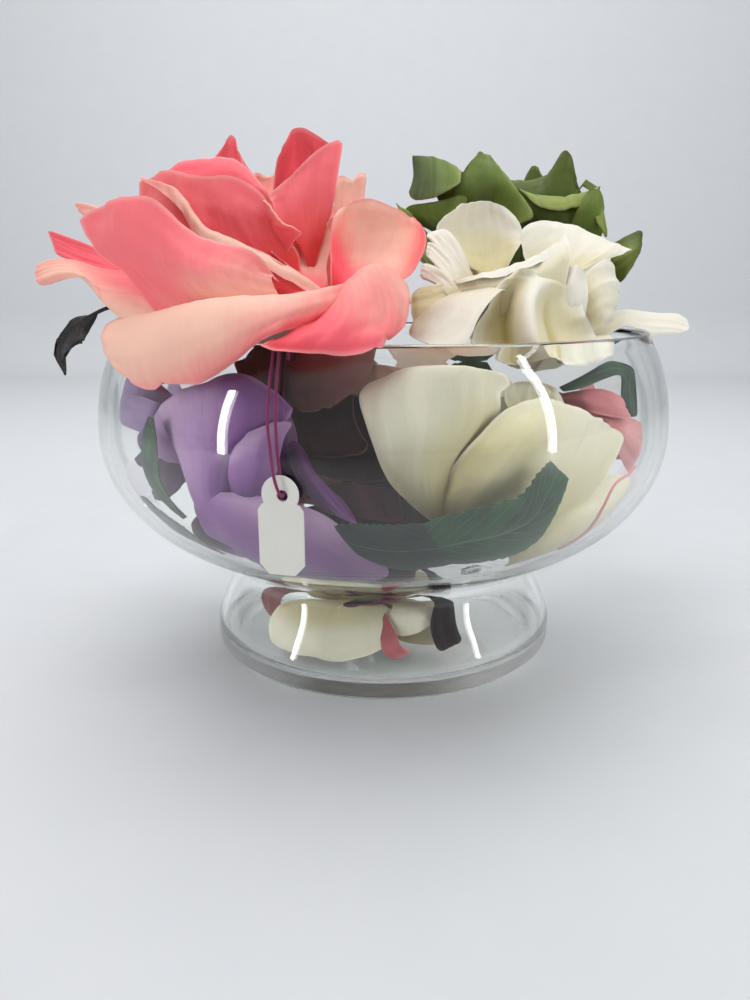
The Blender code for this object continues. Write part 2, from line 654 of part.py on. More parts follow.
def ivory_rose_top():
    c = (46, -8, 98)
    return [
        Patch(
            ((29, -10, 130), (34, -12, 128), (40, -10, 130)),
            ((21, -11, 139), (28, -3, 137), (37, -1, 137), (44, -7, 139)),
            ((18, -10, 144), (26, 1, 147), (36, 4, 148), (45, -3, 144)),
            ((21, -7, 148), (28, 0, 152), (36, 3, 153), (43, 0, 149)),
        ),
        Patch(
            ((49, -14, 127), (55, -15, 127), (61, -18, 129)),
            ((46, -9, 136), (55, -6, 138), (64, -10, 137), (76, -13, 136)),
            ((45, -4, 145), (53, 0, 147), (64, 0, 146), (72, -4, 141), (81, -9, 138)),
        ),
        Patch(
            ((27, -36, 121), (36, -38, 122), (46, -37, 124), (54, -34, 125)),
            ((23, -35, 124), (34, -38, 126), (46, -36, 129), (56, -30, 134)),
            ((21, -33, 127), (34, -34, 130), (46, -30, 134), (56, -22, 141)),
            ((22, -36, 126), (34, -38, 129), (46, -34, 132), (57, -24, 139)),
        ),
        Patch(
            ((25, -27, 125), (28, -25, 127)), ((18, -19, 136), (24, -17, 138)),
            ((13, -12, 142), (20, -10, 144)),
        ),
        Patch(
            ((59, -24, 120), (59, -27, 115), (60, -31, 110)),
            ((63, -21, 129), (66, -28, 122), (67, -31, 114)),
            ((72, -17, 135), (75, -19, 124), (70, -26, 114)),
        ),
        Patch(
            ((50, -36, 110), (54, -37, 109), (58, -37, 108)),
            ((53, -33, 122), (56, -37, 120), (60, -36, 119)),
            ((55, -29, 130), (57, -30, 131), (61, -27, 129)),
        ),
        Patch(
            ((34, -37, 126), (39, -41, 129), (45, -39, 128), (52, -35, 127), (59, -31, 124)),
            ((29, -45, 118), (36, -36, 120), (41, -52, 121), (51, -37, 119), (59, -39, 118)),
            ((25, -52, 110), (35, -40, 110), (41, -62, 111), (53, -42, 110), (62, -41, 112)),
            ((29, -57, 106), (37, -48, 102), (44, -64, 103), (54, -48, 102), (63, -43, 107)),
        ),
        Patch(
            ((34, -42, 124), (29, -35, 125), (24, -30, 124)),
            ((27, -50, 117), (21, -42, 120), (14, -35, 120)),
            ((22, -58, 110), (15, -48, 114), (10, -38, 117)), ((15, -60, 107), (10, -52, 109), (6, -43, 111)),
        ),
        Patch(
            ((68, -10, 114), (68, -16, 110), (66, -20, 106)), ((83, 3, 118), (80, -8, 114), (78, -14, 110)),
            ((95, 6, 117), (92, -4, 114), (90, -10, 110)), ((103, 6, 117), (105, 0, 113), (100, -6, 111)),
        ),
        Patch(
            ((53, -40, 110), (60, -38, 110), (69, -30, 111)),
            ((49, -49, 105), (58, -46, 106), (71, -36, 108)),
            ((50, -53, 99), (54, -51, 100), (60, -48, 103), (77, -33, 109)),
        ),
        Petal((c, (60, 6, 118), (72, 10, 132), (78, 12, 138)), (14, -28, 0), cup=0.6),
        Petal((c, (28, 2, 116), (24, 8, 130), (22, 10, 140)), (20, 16, 0), cup=0.7),
    ]


def green_rose():
    c = (46, 50, 104)
    return [
        Patch(
            ((25, 54, 151), (30, 54, 153), (36, 54, 154)), ((11, 44, 172), (20, 47, 172), (30, 46, 167)),
            ((11, 38, 163), (20, 38, 164), (29, 40, 163)), ((8, 32, 155), (18, 33, 156), (28, 36, 161)),
        ),
        Patch(
            ((22, 42, 143), (27, 42, 145), (33, 42, 147)), ((11, 36, 149), (21, 36, 148), (32, 38, 151)),
            ((8, 34, 154), (19, 36, 155), (31, 41, 159)),
        ),
        Patch(
            ((29, 44, 148), (35, 41, 147), (41, 40, 148), (51, 41, 147)),
            ((27, 44, 159), (34, 41, 159), (40, 37, 161), (57, 41, 151)),
            ((31, 47, 167), (35, 45, 168), (40, 41, 168), (51, 45, 159)),
            ((35, 49, 173), (37, 49, 174), (40, 46, 172), (46, 49, 166)),
        ),
        Patch(
            ((53, 58, 152), (60, 56, 151), (70, 55, 151), (82, 54, 153)),
            ((50, 61, 162), (58, 59, 160), (67, 58, 161), (79, 56, 160)),
            ((48, 66, 167), (58, 65, 167), (66, 64, 169), (72, 62, 177), (77, 58, 164)),
        ),
        Patch(
            ((54, 50, 147), (63, 47, 145), (72, 45, 145), (81, 46, 147)),
            ((53, 52, 156), (61, 46, 152), (69, 44, 150), (82, 45, 156)),
            ((51, 54, 162), (60, 49, 159), (69, 47, 158), (83, 46, 162)),
            ((55, 50, 159), (61, 44, 154), (68, 42, 153), (81, 43, 158)),
        ),
        Patch(
            ((84, 46, 141), (84, 42, 133), (86, 38, 125)), ((88, 42, 141), (88, 35, 135), (89, 32, 126)),
            ((94, 39, 144), (93, 31, 137), (92, 30, 130)), ((97, 36, 146), (97, 33, 140), (95, 31, 134)),
        ),
        Patch(
            ((57, 74, 158), (63, 74, 158), (68, 74, 158)), ((59, 76, 168), (63, 77, 169), (67, 76, 168)),
            ((61, 78, 173), (63, 78, 174), (66, 78, 171)),
        ),
        Petal((c, (58, 68, 145), (62, 74, 160), (63, 78, 168)), (30, -10, -3), cup=0.7, point=0.2),
        Petal((c, (36, 76, 134), (30, 88, 148), (24, 92, 156)), (34, 14, 0), cup=0.7, point=0.2),
        Petal((c, (20, 62, 132), (6, 70, 146), (-2, 74, 150)), (14, 30, 0), cup=0.6, point=0.2),
        Petal((c, (58, 62, 111), (72, 76, 113), (86, 90, 107)), (-22, 26, 0), cup=0.3, point=0.15),
    ]


def purple_rose():
    c = (-36, -54, 62)
    return [
        Patch(
            ((-52, -70, 65), (-46, -73, 66), (-40, -72, 68)),
            ((-56, -70, 79), (-46, -79, 80), (-38, -76, 80)),
            ((-62, -64, 89), (-47, -77, 92), (-35, -80, 93), (-25, -74, 91)),
            ((-64, -60, 92), (-58, -66, 96), (-47, -71, 100), (-37, -73, 103), (-27, -73, 97),
             (-24, -71, 94)),
        ),
        Patch(
            ((-39, -73, 68), (-35, -75, 68), (-31, -73, 69)),
            ((-40, -76, 79), (-33, -84, 80), (-28, -77, 78)),
            ((-37, -79, 85), (-31, -83, 88), (-26, -76, 87)),
            ((-35, -77, 88), (-29, -79, 90), (-24, -73, 91)),
        ),
        Patch(
            ((-27, -60, 83), (-25, -59, 84), (-23, -58, 82)),
            ((-25, -65, 75), (-21, -70, 78), (-17, -65, 72)),
            ((-20, -68, 68), (-14, -72, 69), (-10, -66, 66)), ((-13, -70, 64), (-9, -72, 63), (-5, -67, 55)),
        ),
        Patch(
            ((-52, -66, 67), (-53, -68, 63), (-53, -66, 57)),
            ((-44, -75, 72), (-44, -81, 66), (-42, -76, 52)),
            ((-31, -79, 72), (-30, -85, 63), (-32, -76, 46)),
            ((-17, -77, 67), (-16, -82, 60), (-19, -74, 48)), ((-4, -70, 54), (-5, -72, 51), (-9, -68, 43)),
            ((2, -66, 47), (1, -65, 43), (0, -62, 37)),
        ),
        Petal((c, (-50, -60, 82), (-60, -56, 86), (-64, -50, 92)), (14, -18, 10), cup=0.6),
        Petal((c, (-46, -54, 54), (-50, -55, 49), (-48, -54, 45)), (20, -18, 0), cup=0.6),
        Petal((c, (-34, -62, 84), (-36, -64, 92), (-38, -67, 97)), (22, -6, 0), cup=0.9),
    ]


def ivory_rose_front():
    c = (34, -50, 61)
    return [
        Patch(
            ((11, -70, 65), (14, -72, 63), (17, -71, 65)), ((1, -71, 74), (9, -79, 76), (18, -75, 77)),
            ((-6, -68, 86), (5, -83, 90), (16, -80, 92), (29, -70, 91)),
            ((-9, -63, 93), (2, -77, 101), (14, -79, 105), (30, -68, 97)),
            ((-5, -60, 96), (5, -69, 104), (15, -70, 108), (25, -68, 107), (34, -62, 99)),
        ),
        Patch(
            ((38, -58, 86), (47, -56, 86), (56, -50, 84)), ((33, -60, 94), (41, -54, 94), (52, -50, 91)),
            ((33, -59, 98), (40, -56, 100), (50, -49, 95)),
        ),
        Patch(
            ((16, -67, 61), (24, -69, 63), (37, -66, 63), (50, -58, 58)),
            ((16, -74, 74), (27, -80, 77), (43, -70, 76), (64, -50, 70)),
            ((25, -75, 87), (35, -77, 88), (52, -62, 85), (71, -42, 79)),
            ((34, -69, 94), (44, -65, 95), (58, -53, 89), (71, -41, 83)),
        ),
        Patch(
            ((34, -60, 53), (38, -62, 48), (40, -60, 43)), ((51, -57, 67), (49, -62, 57), (45, -62, 45)),
            ((69, -42, 69), (66, -51, 58), (61, -54, 45)), ((79, -31, 64), (80, -38, 55), (73, -46, 47)),
        ),
        Petal((c, (37, -52, 80), (42, -49, 89), (46, -46, 94)), (22, 10, 0), cup=0.9),
        Petal((c, (50, -44, 70), (58, -38, 78), (62, -34, 84)), (14, 18, -6), cup=0.8),
    ]


CORAL_PETALS = [*coral_rose(), OUTER_LEAF]
TOP_PETALS = ivory_rose_top()
ROSES = [
    Rose("coral_rose", (-30, -28, 100), (-26, -34, 150), (-34, -34, 128), 56, 9, CORAL_PETALS, CORAL, True),
    Rose("ivory_rose_top", (46, -8, 98), (44, -16, 140), (46, -30, 122), 50, 9, TOP_PETALS, IVORY, True),
    Rose("green_rose", (46, 50, 104), (48, 50, 160), (52, 54, 144), 46, 9, green_rose(), OLIVE, True),
    Rose("purple_rose", (-36, -54, 62), (-36, -52, 96), (-34, -58, 66), 28, 7, purple_rose(), PURPLE),
    Rose("ivory_rose_front", (34, -50, 61), (34, -46, 94), (33, -54, 88), 34, 7, ivory_rose_front(), IVORY),
]


# Petals by rows of points that plain roses have besides their two rings
EXTRA_PETALS = {
    "mauve_rose": [
        Patch(
            ((-28, -50, 111), (-15, -54, 113), (-2, -50, 115)),
            ((-29, -57, 106), (-17, -63, 107), (-1, -57, 111)),
            ((-27, -60, 99), (-18, -65, 100), (-6, -60, 104)),
            ((-24, -60, 96), (-18, -62, 96), (-13, -60, 99)),
        ),
        Patch(
            ((-11, -46, 108), (0, -46, 112), (14, -42, 115)),
            ((-11, -54, 103), (0, -55, 107), (14, -48, 112)),
            ((-11, -55, 99), (-5, -56, 100), (5, -54, 105), (13, -48, 109)),
        ),
        Patch(
            ((-41, -54, 112), (-32, -56, 113), (-23, -54, 113)),
            ((-40, -58, 107), (-32, -60, 106), (-24, -56, 105)),
            ((-36, -58, 102), (-30, -60, 100), (-24, -56, 100)),
        ),
        Patch(
            ((-28, -44, 96), (-18, -44, 98), (-9, -40, 98)), ((-28, -52, 90), (-18, -54, 91), (-8, -50, 91)),
            ((-24, -56, 83), (-15, -58, 82), (-3, -54, 84)),
        ),
    ],
    "burgundy_rose": [
        Patch(
            ((-22, -44, 69), (-12, -44, 71), (0, -40, 68)), ((-22, -55, 74), (-11, -57, 76), (2, -52, 73)),
            ((-13, -58, 63), (-6, -60, 62), (6, -55, 59)),
        ),
        Patch(
            ((-11, -50, 65), (-3, -50, 66), (8, -46, 63)), ((-8, -56, 56), (2, -58, 58), (12, -54, 56)),
            ((-3, -57, 47), (5, -58, 47), (17, -55, 48)),
        ),
    ],
    "dusty_pink_rose": [
        Patch(
            ((56, -30, 93), (55, -32, 91), (57, -32, 89)), ((63, -30, 94), (61, -34, 92), (62, -34, 88)),
            ((71, -26, 93), (70, -30, 90), (70, -30, 86)), ((77, -22, 90), (78, -24, 87), (80, -24, 84)),
        ),
        Patch(
            ((69, -28, 85), (71, -28, 83), (72, -28, 81)), ((77, -22, 85), (76, -26, 81), (73, -28, 78)),
            ((85, -16, 82), (82, -24, 76), (78, -24, 70)), ((91, -10, 78), (89, -16, 71), (82, -20, 65)),
        ),
        Patch(
            ((53, -32, 98), (55, -34, 94)), ((60, -30, 100), (61, -33, 95)), ((67, -26, 102), (68, -29, 97)),
            ((75, -20, 102), (75, -22, 98)), ((83, -14, 99), (78, -17, 96)), ((85, -12, 92), (79, -15, 90)),
            ((87, -10, 83), (83, -12, 83)),
        ),
    ],
    "lilac_rose": [
        Patch(
            ((-78, -28, 92), (-77, -26, 96), (-78, -24, 100)),
            ((-85, -24, 90), (-84, -22, 95), (-84, -20, 99)),
            ((-91, -19, 92), (-90, -18, 95), (-89, -16, 98)),
        ),
        Patch(
            ((-64, -44, 92), (-66, -44, 87), (-70, -42, 83)),
            ((-74, -36, 94), (-75, -38, 89), (-77, -36, 84)),
            ((-84, -27, 93), (-84, -29, 89), (-84, -29, 85)),
            ((-91, -21, 91), (-90, -21, 88), (-89, -21, 86)),
        ),
    ],
    "foot_rose": [
        Patch(
            ((-28, -30, 25), (-14, -34, 27), (0, -30, 25)), ((-35, -34, 22), (-17, -40, 22), (3, -36, 21)),
            ((-39, -38, 16), (-19, -46, 15), (3, -40, 15)),
            ((-35, -40, 11), (-27, -44, 11), (-12, -47, 10), (-4, -45, 11), (4, -41, 14)),
        ),
        Patch(
            ((3, -32, 24), (11, -32, 26), (22, -28, 24)), ((2, -38, 20), (9, -40, 21), (21, -34, 23)),
            ((3, -40, 15), (9, -41, 16), (15, -39, 19), (22, -34, 23)),
        ),
        Patch(
            ((-21, -26, 17), (-10, -26, 17), (2, -26, 17)), ((-22, -30, 22), (-10, -30, 22), (4, -30, 22)),
            ((-17, -38, 14), (-8, -40, 14), (2, -38, 15)),
        ),
    ],
}


def plain_rose(name, root, axis, size, first, open_angle, colour, inner=3, outer=4, over_rim=False):
    """Adds a rose whose petals are set evenly round its axis."""
    start = np.array(root, float)
    eye = start + unit(np.array(axis, float)) * size
    middle, heart = (start + eye) / 2, 0.28 * size
    petals = opened_rose(start, axis, size, first, open_angle, inner, outer) + EXTRA_PETALS.get(name, [])
    ROSES.append(Rose(name, start, eye, middle, size, heart, petals, colour, over_rim))


plain_rose("mauve_rose", (-2, -16, 54), (0.0, -0.7, 0.7), 33, -90, 60, MAUVE, 2, 3)
plain_rose("burgundy_rose", (-8, -34, 36), (0.0, -0.7, 0.7), 26, 20, 55, BURGUNDY, 2, 3)
plain_rose("dusty_pink_rose", (62, 2, 68), (0.8, -0.3, 0.3), 27, 10, 62, DUSTY_PINK, 2, 3)
plain_rose("lilac_rose", (-64, -4, 69), (-0.8, -0.3, 0.3), 25, 60, 60, LILAC, 2, 3)
plain_rose("foot_rose", (-8, -14, 21), (0.0, -1.0, -0.05), 28, -60, 64, IVORY, 2, 3)
plain_rose("lilac_rose_back", (-24, 36, 96), (-0.2, 0.3, 0.95), 38, 70, 56, LILAC, 4, 5, True)
plain_rose("peach_rose_back", (22, 52, 63), (0.3, 0.9, 0.25), 34, 20, 62, CORAL)
plain_rose("purple_rose_back", (-34, 30, 59), (-0.6, 0.7, 0.1), 31, -20, 60, PURPLE)

# Leaves along the glass, by rows of bearing in degrees and height, each row from edge to edge
LEAVES = {
    "leaf_front": (
        ((6.2, 66.0), (8.6, 61.0), (11.2, 56.5), (13.6, 52.2)),
        ((11.0, 68.6), (13.4, 62.5), (16.2, 57.0), (19.2, 51.8)),
        ((16.5, 70.6), (19.5, 64.5), (22.6, 58.5), (25.6, 52.4)),
        ((21.5, 72.3), (24.0, 67.0), (26.6, 61.5), (28.9, 56.0)),
        ((24.8, 77.6), (26.8, 73.3), (28.7, 69.4), (30.4, 65.6)),
        ((27.2, 80.4), (28.8, 78.4), (30.2, 76.6), (31.4, 74.8)),
    ),
    "leaf_front_dark": (
        ((4.9, 65.4), (7.2, 60.3), (9.9, 55.6), (12.2, 51.6)),
        ((0.6, 66.3), (2.4, 60.8), (4.6, 55.3), (6.6, 50.0)),
        ((-4.0, 66.5), (-2.4, 61.5), (-0.6, 56.3), (1.2, 51.5)),
        ((-8.0, 65.6), (-7.0, 62.5), (-5.8, 59.5), (-4.4, 56.5)),
    ),
    "leaf_left": leaf_rows(((-43, 89), (-43.5, 79), (-43, 71), (-38.5, 62)), 8),
    "leaf_left_dark": leaf_rows(((-38, 49), (-45, 55), (-53, 64)), 13),
    "leaf_back": leaf_rows(((148, 90), (164, 76), (180, 62)), 22),
    "leaf_back_right": leaf_rows(((112, 58), (122, 70), (134, 84)), 20),
    "leaf_back_left": leaf_rows(((-120, 60), (-110, 72), (-100, 88)), 20),
}

# The thread as bearing in degrees, radius and height: from under the coral rose, through the tag and back
THREAD_PATH = [
    (-18.0, 83.0, 105.0), (-17.9, 84.0, 108.9), (-17.6, 86.6, 110.4), (-17.3, 89.1, 109.1),
    (-17.1, 90.6, 105.6), (-17.0, 92.9, 101.0), (-16.8, 95.6, 92.0), (-16.2, 96.6, 84.0),
    (-15.5, 98.3, 79.8), (-15.0, 98.5, 76.6), (-14.6, 97.9, 74.5), (-14.5, 96.7, 74.1),
    (-14.6, 95.7, 74.8), (-14.9, 95.6, 77.4), (-15.3, 95.7, 82.0), (-15.6, 95.4, 92.0),
    (-15.9, 92.9, 101.0), (-16.1, 90.6, 105.6), (-16.3, 89.1, 109.1), (-16.4, 86.6, 110.4),
    (-16.4, 84.0, 108.9), (-16.3, 83.0, 105.0),
]

# Small rings of silver wire by the glass: bearing in degrees, height and radius
WIRE_RINGS = [("silver_wire_front", 19.1, 47.6, 2.6), ("silver_wire_left", -58.8, 58.0, 1.8)]

# How far each rose has settled onto what it rests on, in millimetres
SETTLED = {
    "foot_rose": 1.2, "purple_rose_back": 0.8, "peach_rose_back": 1.7, "burgundy_rose": 2.8,
    "purple_rose": 1.5, "ivory_rose_front": 1.4, "dusty_pink_rose": 1.8, "lilac_rose": 3.1,
    "mauve_rose": 6.3, "lilac_rose_back": 0.5, "ivory_rose_top": 1.8, "green_rose": 0.3,
}

# How far from the bowl's axis a bound with this rose holds for the roses over the rim, where not to the wall
HELD_TO = {"mauve_rose": 62.0}

# Flat bounds that are set by hand: a point of each, and its normal from the first rose to the second
BOUNDS = {
    ("coral_rose", "ivory_rose_top"): ((11, -40, 131), (1, 0.35, -0.45)),
    ("coral_rose", "ivory_rose_front"): ((4, -70, 108.5), (0.5, 0, -0.87)),
    ("coral_rose", "mauve_rose"): ((-23, -32, 99.5), (0.05, -0.55, -1)),
    ("coral_rose", "purple_rose"): ((-36, -60, 103), (0, -0.2, -1)),
    ("coral_rose", "lilac_rose"): ((-66, -40, 101), (-0.35, 0, -0.94)),
    ("ivory_rose_top", "ivory_rose_front"): ((40, -50, 100.5), (0, -0.25, -0.97)),
    ("ivory_rose_top", "dusty_pink_rose"): ((66, -26, 103.5), (0.4, 0.1, -0.9)),
    ("ivory_rose_front", "dusty_pink_rose"): ((74, -32, 72), (0.35, 0.75, 0.5)),
    ("mauve_rose", "ivory_rose_top"): ((12, -50, 107), (0.3, 0, 0.95)),
    ("mauve_rose", "ivory_rose_front"): ((4, -58.5, 97), (0.38, -0.92, 0.1)),
    ("mauve_rose", "purple_rose"): ((-25, -60, 88), (-0.05, -1, -0.2)),
    ("mauve_rose", "burgundy_rose"): ((-6, -32, 59), (0, -0.5, -0.87)),
    ("burgundy_rose", "purple_rose"): ((-10, -62, 60), (-0.2, -0.97, -0.05)),
    ("burgundy_rose", "ivory_rose_front"): ((12, -62, 60), (0.5, -0.8, 0.35)),
}


def main():
    for obj in list(bpy.data.objects):
        bpy.data.objects.remove(obj)
    parts = bpy.data.collections.new("rose_bowl_arrangement")
    bpy.context.scene.collection.children.link(parts)
    glass_bowl(parts)
    for rose in ROSES:
        blades = [
            blade(
                f"{rose.name}_petal_{i}", PETAL_THICKNESS, *petal.grid,
                lambda u, v, petal=petal, rose=rose: rose.placed(petal.surface(u, v, rose.eye)),
            )
            for i, petal in enumerate(rose.petals)
        ]
        if rose.name == "coral_rose":
            blades.append(welded(rod("outer_stem", OUTER_STEM, 2.0, 1), parts))
        dressed(joined(heart_of(rose), blades, parts), material(rose.name, rose.colour, 0.7))
    green, dark = material("leaf_green", LEAF_GREEN, 0.6), material("leaf_dark", DARK_LEAF, 0.6)
    for name, rows in LEAVES.items():
        leaf = blade(name, LEAF_THICKNESS, 5, len(rows[0]) - 1, wall_leaf(rows))
        parts.objects.link(leaf)
        dressed(leaf, dark if "dark" in name else green)
    price_tag(parts)
    strand = [on_wall(np.float64(b), r, z) for b, r, z in THREAD_PATH]
    thread = rod("tag_thread", strand, THREAD_DIAMETER)
    parts.objects.link(thread)
    dressed(thread, material("thread", (0.25, 0.03, 0.12), 0.8))
    for name, bearing, height, radius in WIRE_RINGS:
        ring = wire_ring(name, bearing, height, radius, parts)
        dressed(ring, material("silver", (0.8, 0.8, 0.8), 0.25, metallic=1.0))


main()
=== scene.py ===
"""The looks of the rose bowl arrangement.

These are its petals, leaves, glass, tag and thread, and the studio round it.

Lengths are in millimetres until a mesh is made, and bearings round the bowl are in degrees, with 0 at the
front and 90 to the right.
"""

import math

import bpy
import numpy as np
from mathutils import Matrix, Vector, noise


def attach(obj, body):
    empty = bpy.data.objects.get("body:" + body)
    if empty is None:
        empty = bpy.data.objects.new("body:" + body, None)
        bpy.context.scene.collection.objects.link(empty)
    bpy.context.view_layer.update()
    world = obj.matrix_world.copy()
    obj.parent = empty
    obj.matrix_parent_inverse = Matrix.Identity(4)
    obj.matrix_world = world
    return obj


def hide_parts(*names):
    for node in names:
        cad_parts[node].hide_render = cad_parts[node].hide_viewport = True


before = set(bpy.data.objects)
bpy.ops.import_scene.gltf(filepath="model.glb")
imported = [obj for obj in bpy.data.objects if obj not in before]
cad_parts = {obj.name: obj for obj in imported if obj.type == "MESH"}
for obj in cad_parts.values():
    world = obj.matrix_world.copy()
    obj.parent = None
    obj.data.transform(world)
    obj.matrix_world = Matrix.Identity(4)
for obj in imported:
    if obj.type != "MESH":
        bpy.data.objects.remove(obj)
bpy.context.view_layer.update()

MM = 0.001

# The bowl: outer wall as radius and height, from the foot up to the lip
OUTER_WALL = (
    (60.3, 5.5), (59.9, 11.0), (57.2, 18.0), (53.9, 25.0), (52.9, 29.5), (56.8, 33.8), (65.5, 38.4),
    (75.5, 44.0), (84.8, 52.2), (91.6, 62.6), (94.6, 72.5), (95.0, 80.0), (94.1, 90.0), (91.4, 100.0),
    (87.2, 109.0),
)
WALL = 2.4
FLOOR = 5.0
FOOT_FLAT_RADIUS = 56.5
BOWL_STEPS = 144

# The blades, and the room that pieces are placed with
PETAL_THICKNESS = 0.45
LEAF_THICKNESS = 0.5
ROSE_TO_GLASS = 1.0
LEAF_TO_GLASS = 1.4
LEAF_LOWEST = 38.0
ROSE_UNDER_LEAF = 2.0
OVER_THE_GLASS = 0.9
ROSE_TO_ROSE = 0.4
HERO_GRID = (40, 36)
PLAIN_GRID = (22, 18)

# The tag and its thread
TAG_MIDDLE = (-25.0, -93.75, 66.5)
TAG_TURN = -15.0
TAG_WIDTH = 11.6
TAG_HEIGHT = 25.0
TAG_THICKNESS = 0.7
TAG_HOLE_DIAMETER = 3.0
TAG_HOLE_MIDDLE = (0.6, 7.6)
TAG_HEAD_RADIUS = 4.7
TAG_BEVEL = 0.08
THREAD_DIAMETER = 0.8

# The thin stems
OUTER_STEM_DIAMETER = 1.1
PINK_STEM_DIAMETER = 0.7
PINK_STEM_TO_GLASS = 1.0

# The camera: its frame, its focal length and the bowl's axis in pixels, its sensor in millimetres,
# and the rest in metres and degrees
FRAME_WIDTH = 750
FRAME_HEIGHT = 1000
SENSOR_WIDTH = 36
FOCAL_PIXELS = 800.0
AXIS_PIXEL = 383.5
CAMERA_HEIGHT = 0.1207
CAMERA_DISTANCE = 0.2806
CAMERA_PITCH = 14.3


def smooth_path(points, steps):
    """A Catmull-Rom curve through the points, with this many steps between each two."""
    p = np.array(points, float)
    p = np.vstack([2 * p[0] - p[1], p, 2 * p[-1] - p[-2]])
    curve = []
    for i in range(1, len(p) - 2):
        a, b, c, d = p[i - 1 : i + 3]
        for t in np.arange(steps) / steps:
            square, cube = 2 * a - 5 * b + 4 * c - d, 3 * b - 3 * c + d - a
            curve.append(0.5 * (2 * b + (c - a) * t + square * t**2 + cube * t**3))
    curve.append(p[-2])
    return np.array(curve)


def offset_inward(outer):
    """The outer wall moved in by the wall's thickness, down to just above the floor."""
    slope = np.gradient(outer, axis=0)
    slope /= np.linalg.norm(slope, axis=1)[:, None]
    inner = outer + WALL * np.stack([-slope[:, 1], slope[:, 0]], 1)
    return inner[inner[:, 1] > FLOOR + 2.5]


OUTER_CURVE = smooth_path(OUTER_WALL, 3)
INNER_CURVE = offset_inward(OUTER_CURVE)
RIM_TO_BELLY = ((85.9, 109.0), (90.2, 99.6), (92.9, 89.8), (93.8, 80.0), (93.4, 72.7), (90.4, 63.0))
WALL_MIDDLE = smooth_path(RIM_TO_BELLY, 4)


def inside_radius(z, clear=0.0):
    """The inner face's radius at height z, or that of a surface this far inside it."""
    radii, heights = INNER_CURVE.T
    slope = np.interp(z + 1, heights, radii) - np.interp(z - 1, heights, radii)
    return np.interp(z, heights, radii) - clear * np.sqrt(1 + (slope / 2) ** 2)


def soft_limit(x, limit, width):
    """x where it is well under the limit, and nearer and nearer to the limit beyond that."""
    near = limit - width
    return np.where(x > near, limit - width * np.exp(-np.maximum(x - near, 0) / width), x)


def smooth_step(x, low, high):
    t = np.clip((x - low) / (high - low), 0, 1)
    return t * t * (3 - 2 * t)


def unit(v):
    return v / np.maximum(np.linalg.norm(v, axis=-1, keepdims=True), 1e-9)


def linear(red, green, blue):
    """A colour as the eye names it, 0 to 255, as the linear values that shaders take."""
    s = np.array([red, green, blue]) / 255
    return tuple(float(x) for x in np.where(s <= 0.04045, s / 12.92, ((s + 0.055) / 1.055) ** 2.4))


def new_object(name, data):
    """An object with this data, linked to the scene."""
    made = bpy.data.objects.new(name, data)
    bpy.context.scene.collection.objects.link(made)
    return made


def through(points, t):
    """Points of a smooth curve through points, or through rows of points, at t from 0 to 1 along it."""
    gaps = np.linalg.norm(np.diff(points, axis=0), axis=-1).reshape(len(points) - 1, -1).mean(axis=1)
    knots = np.concatenate([[0], np.cumsum(gaps)]) / gaps.sum()
    slopes = np.gradient(points, knots, axis=0, edge_order=min(2, len(points) - 1))
    i = np.clip(np.searchsorted(knots, t, side="right") - 1, 0, len(points) - 2)
    first, last = (i,), (i + 1,)
    if points.ndim > 2:
        each = np.arange(len(t))
        first, last = (i, each), (i + 1, each)
    span = (knots[i + 1] - knots[i])[:, None]
    s = (t - knots[i])[:, None] / span
    start = (1 + 2 * s) * (1 - s) ** 2 * points[first] + s * (1 - s) ** 2 * span * slopes[first]
    return start + s * s * (3 - 2 * s) * points[last] - s * s * (1 - s) * span * slopes[last]


class Patch:
    """A petal by rows of points, from near its root to its rim, each row from one edge to the other.

    tones say the same way how far its colour goes from the deep one, -1, past the main one, 0, to the
    pale one, 1. Low tones are partly the cloth's deeper colour and partly painted shade in folds, hollows
    and gaps; high tones are partly paler cloth and partly painted highlight where folds face the light.
    """

    def __init__(self, tones, *rows, ruffle=0.8, grid=HERO_GRID):
        self.rows = [np.array(row, float) for row in rows]
        self.tones, self.ruffle, self.grid = tones, ruffle, grid

    def start_from(self, root, axis, heart):
        """Adds the narrow row that joins the petal to the rose's heart."""
        middle = self.rows[0].mean(axis=0)
        out = middle - root
        out = out - (out @ axis) * axis
        start = root + out * min(0.35, 0.7 * heart / np.linalg.norm(out))
        self.rows.insert(0, start + (self.rows[0] - middle) * 0.2)

    def surface(self, u, v, eye):
        """Points of the middle surface, for u from -1 to 1 across and v from 0 to 1 along."""
        lines = np.stack([through(row, (u + 1) / 2) for row in self.rows])
        return through(lines, v * (1 - 0.035 * np.abs(u) ** 8))

    def steps(self):
        """The grid's rows along the petal, with few of them on the hidden stretch next to the heart."""
        lengths = [
            np.linalg.norm(b.mean(axis=0) - a.mean(axis=0)) for a, b in zip(self.rows, self.rows[1:])
        ]
        shown = lengths[0] / sum(lengths)
        return np.concatenate([np.linspace(0, shown, 5)[:-1], np.linspace(shown, 1, self.grid[0] - 4)])


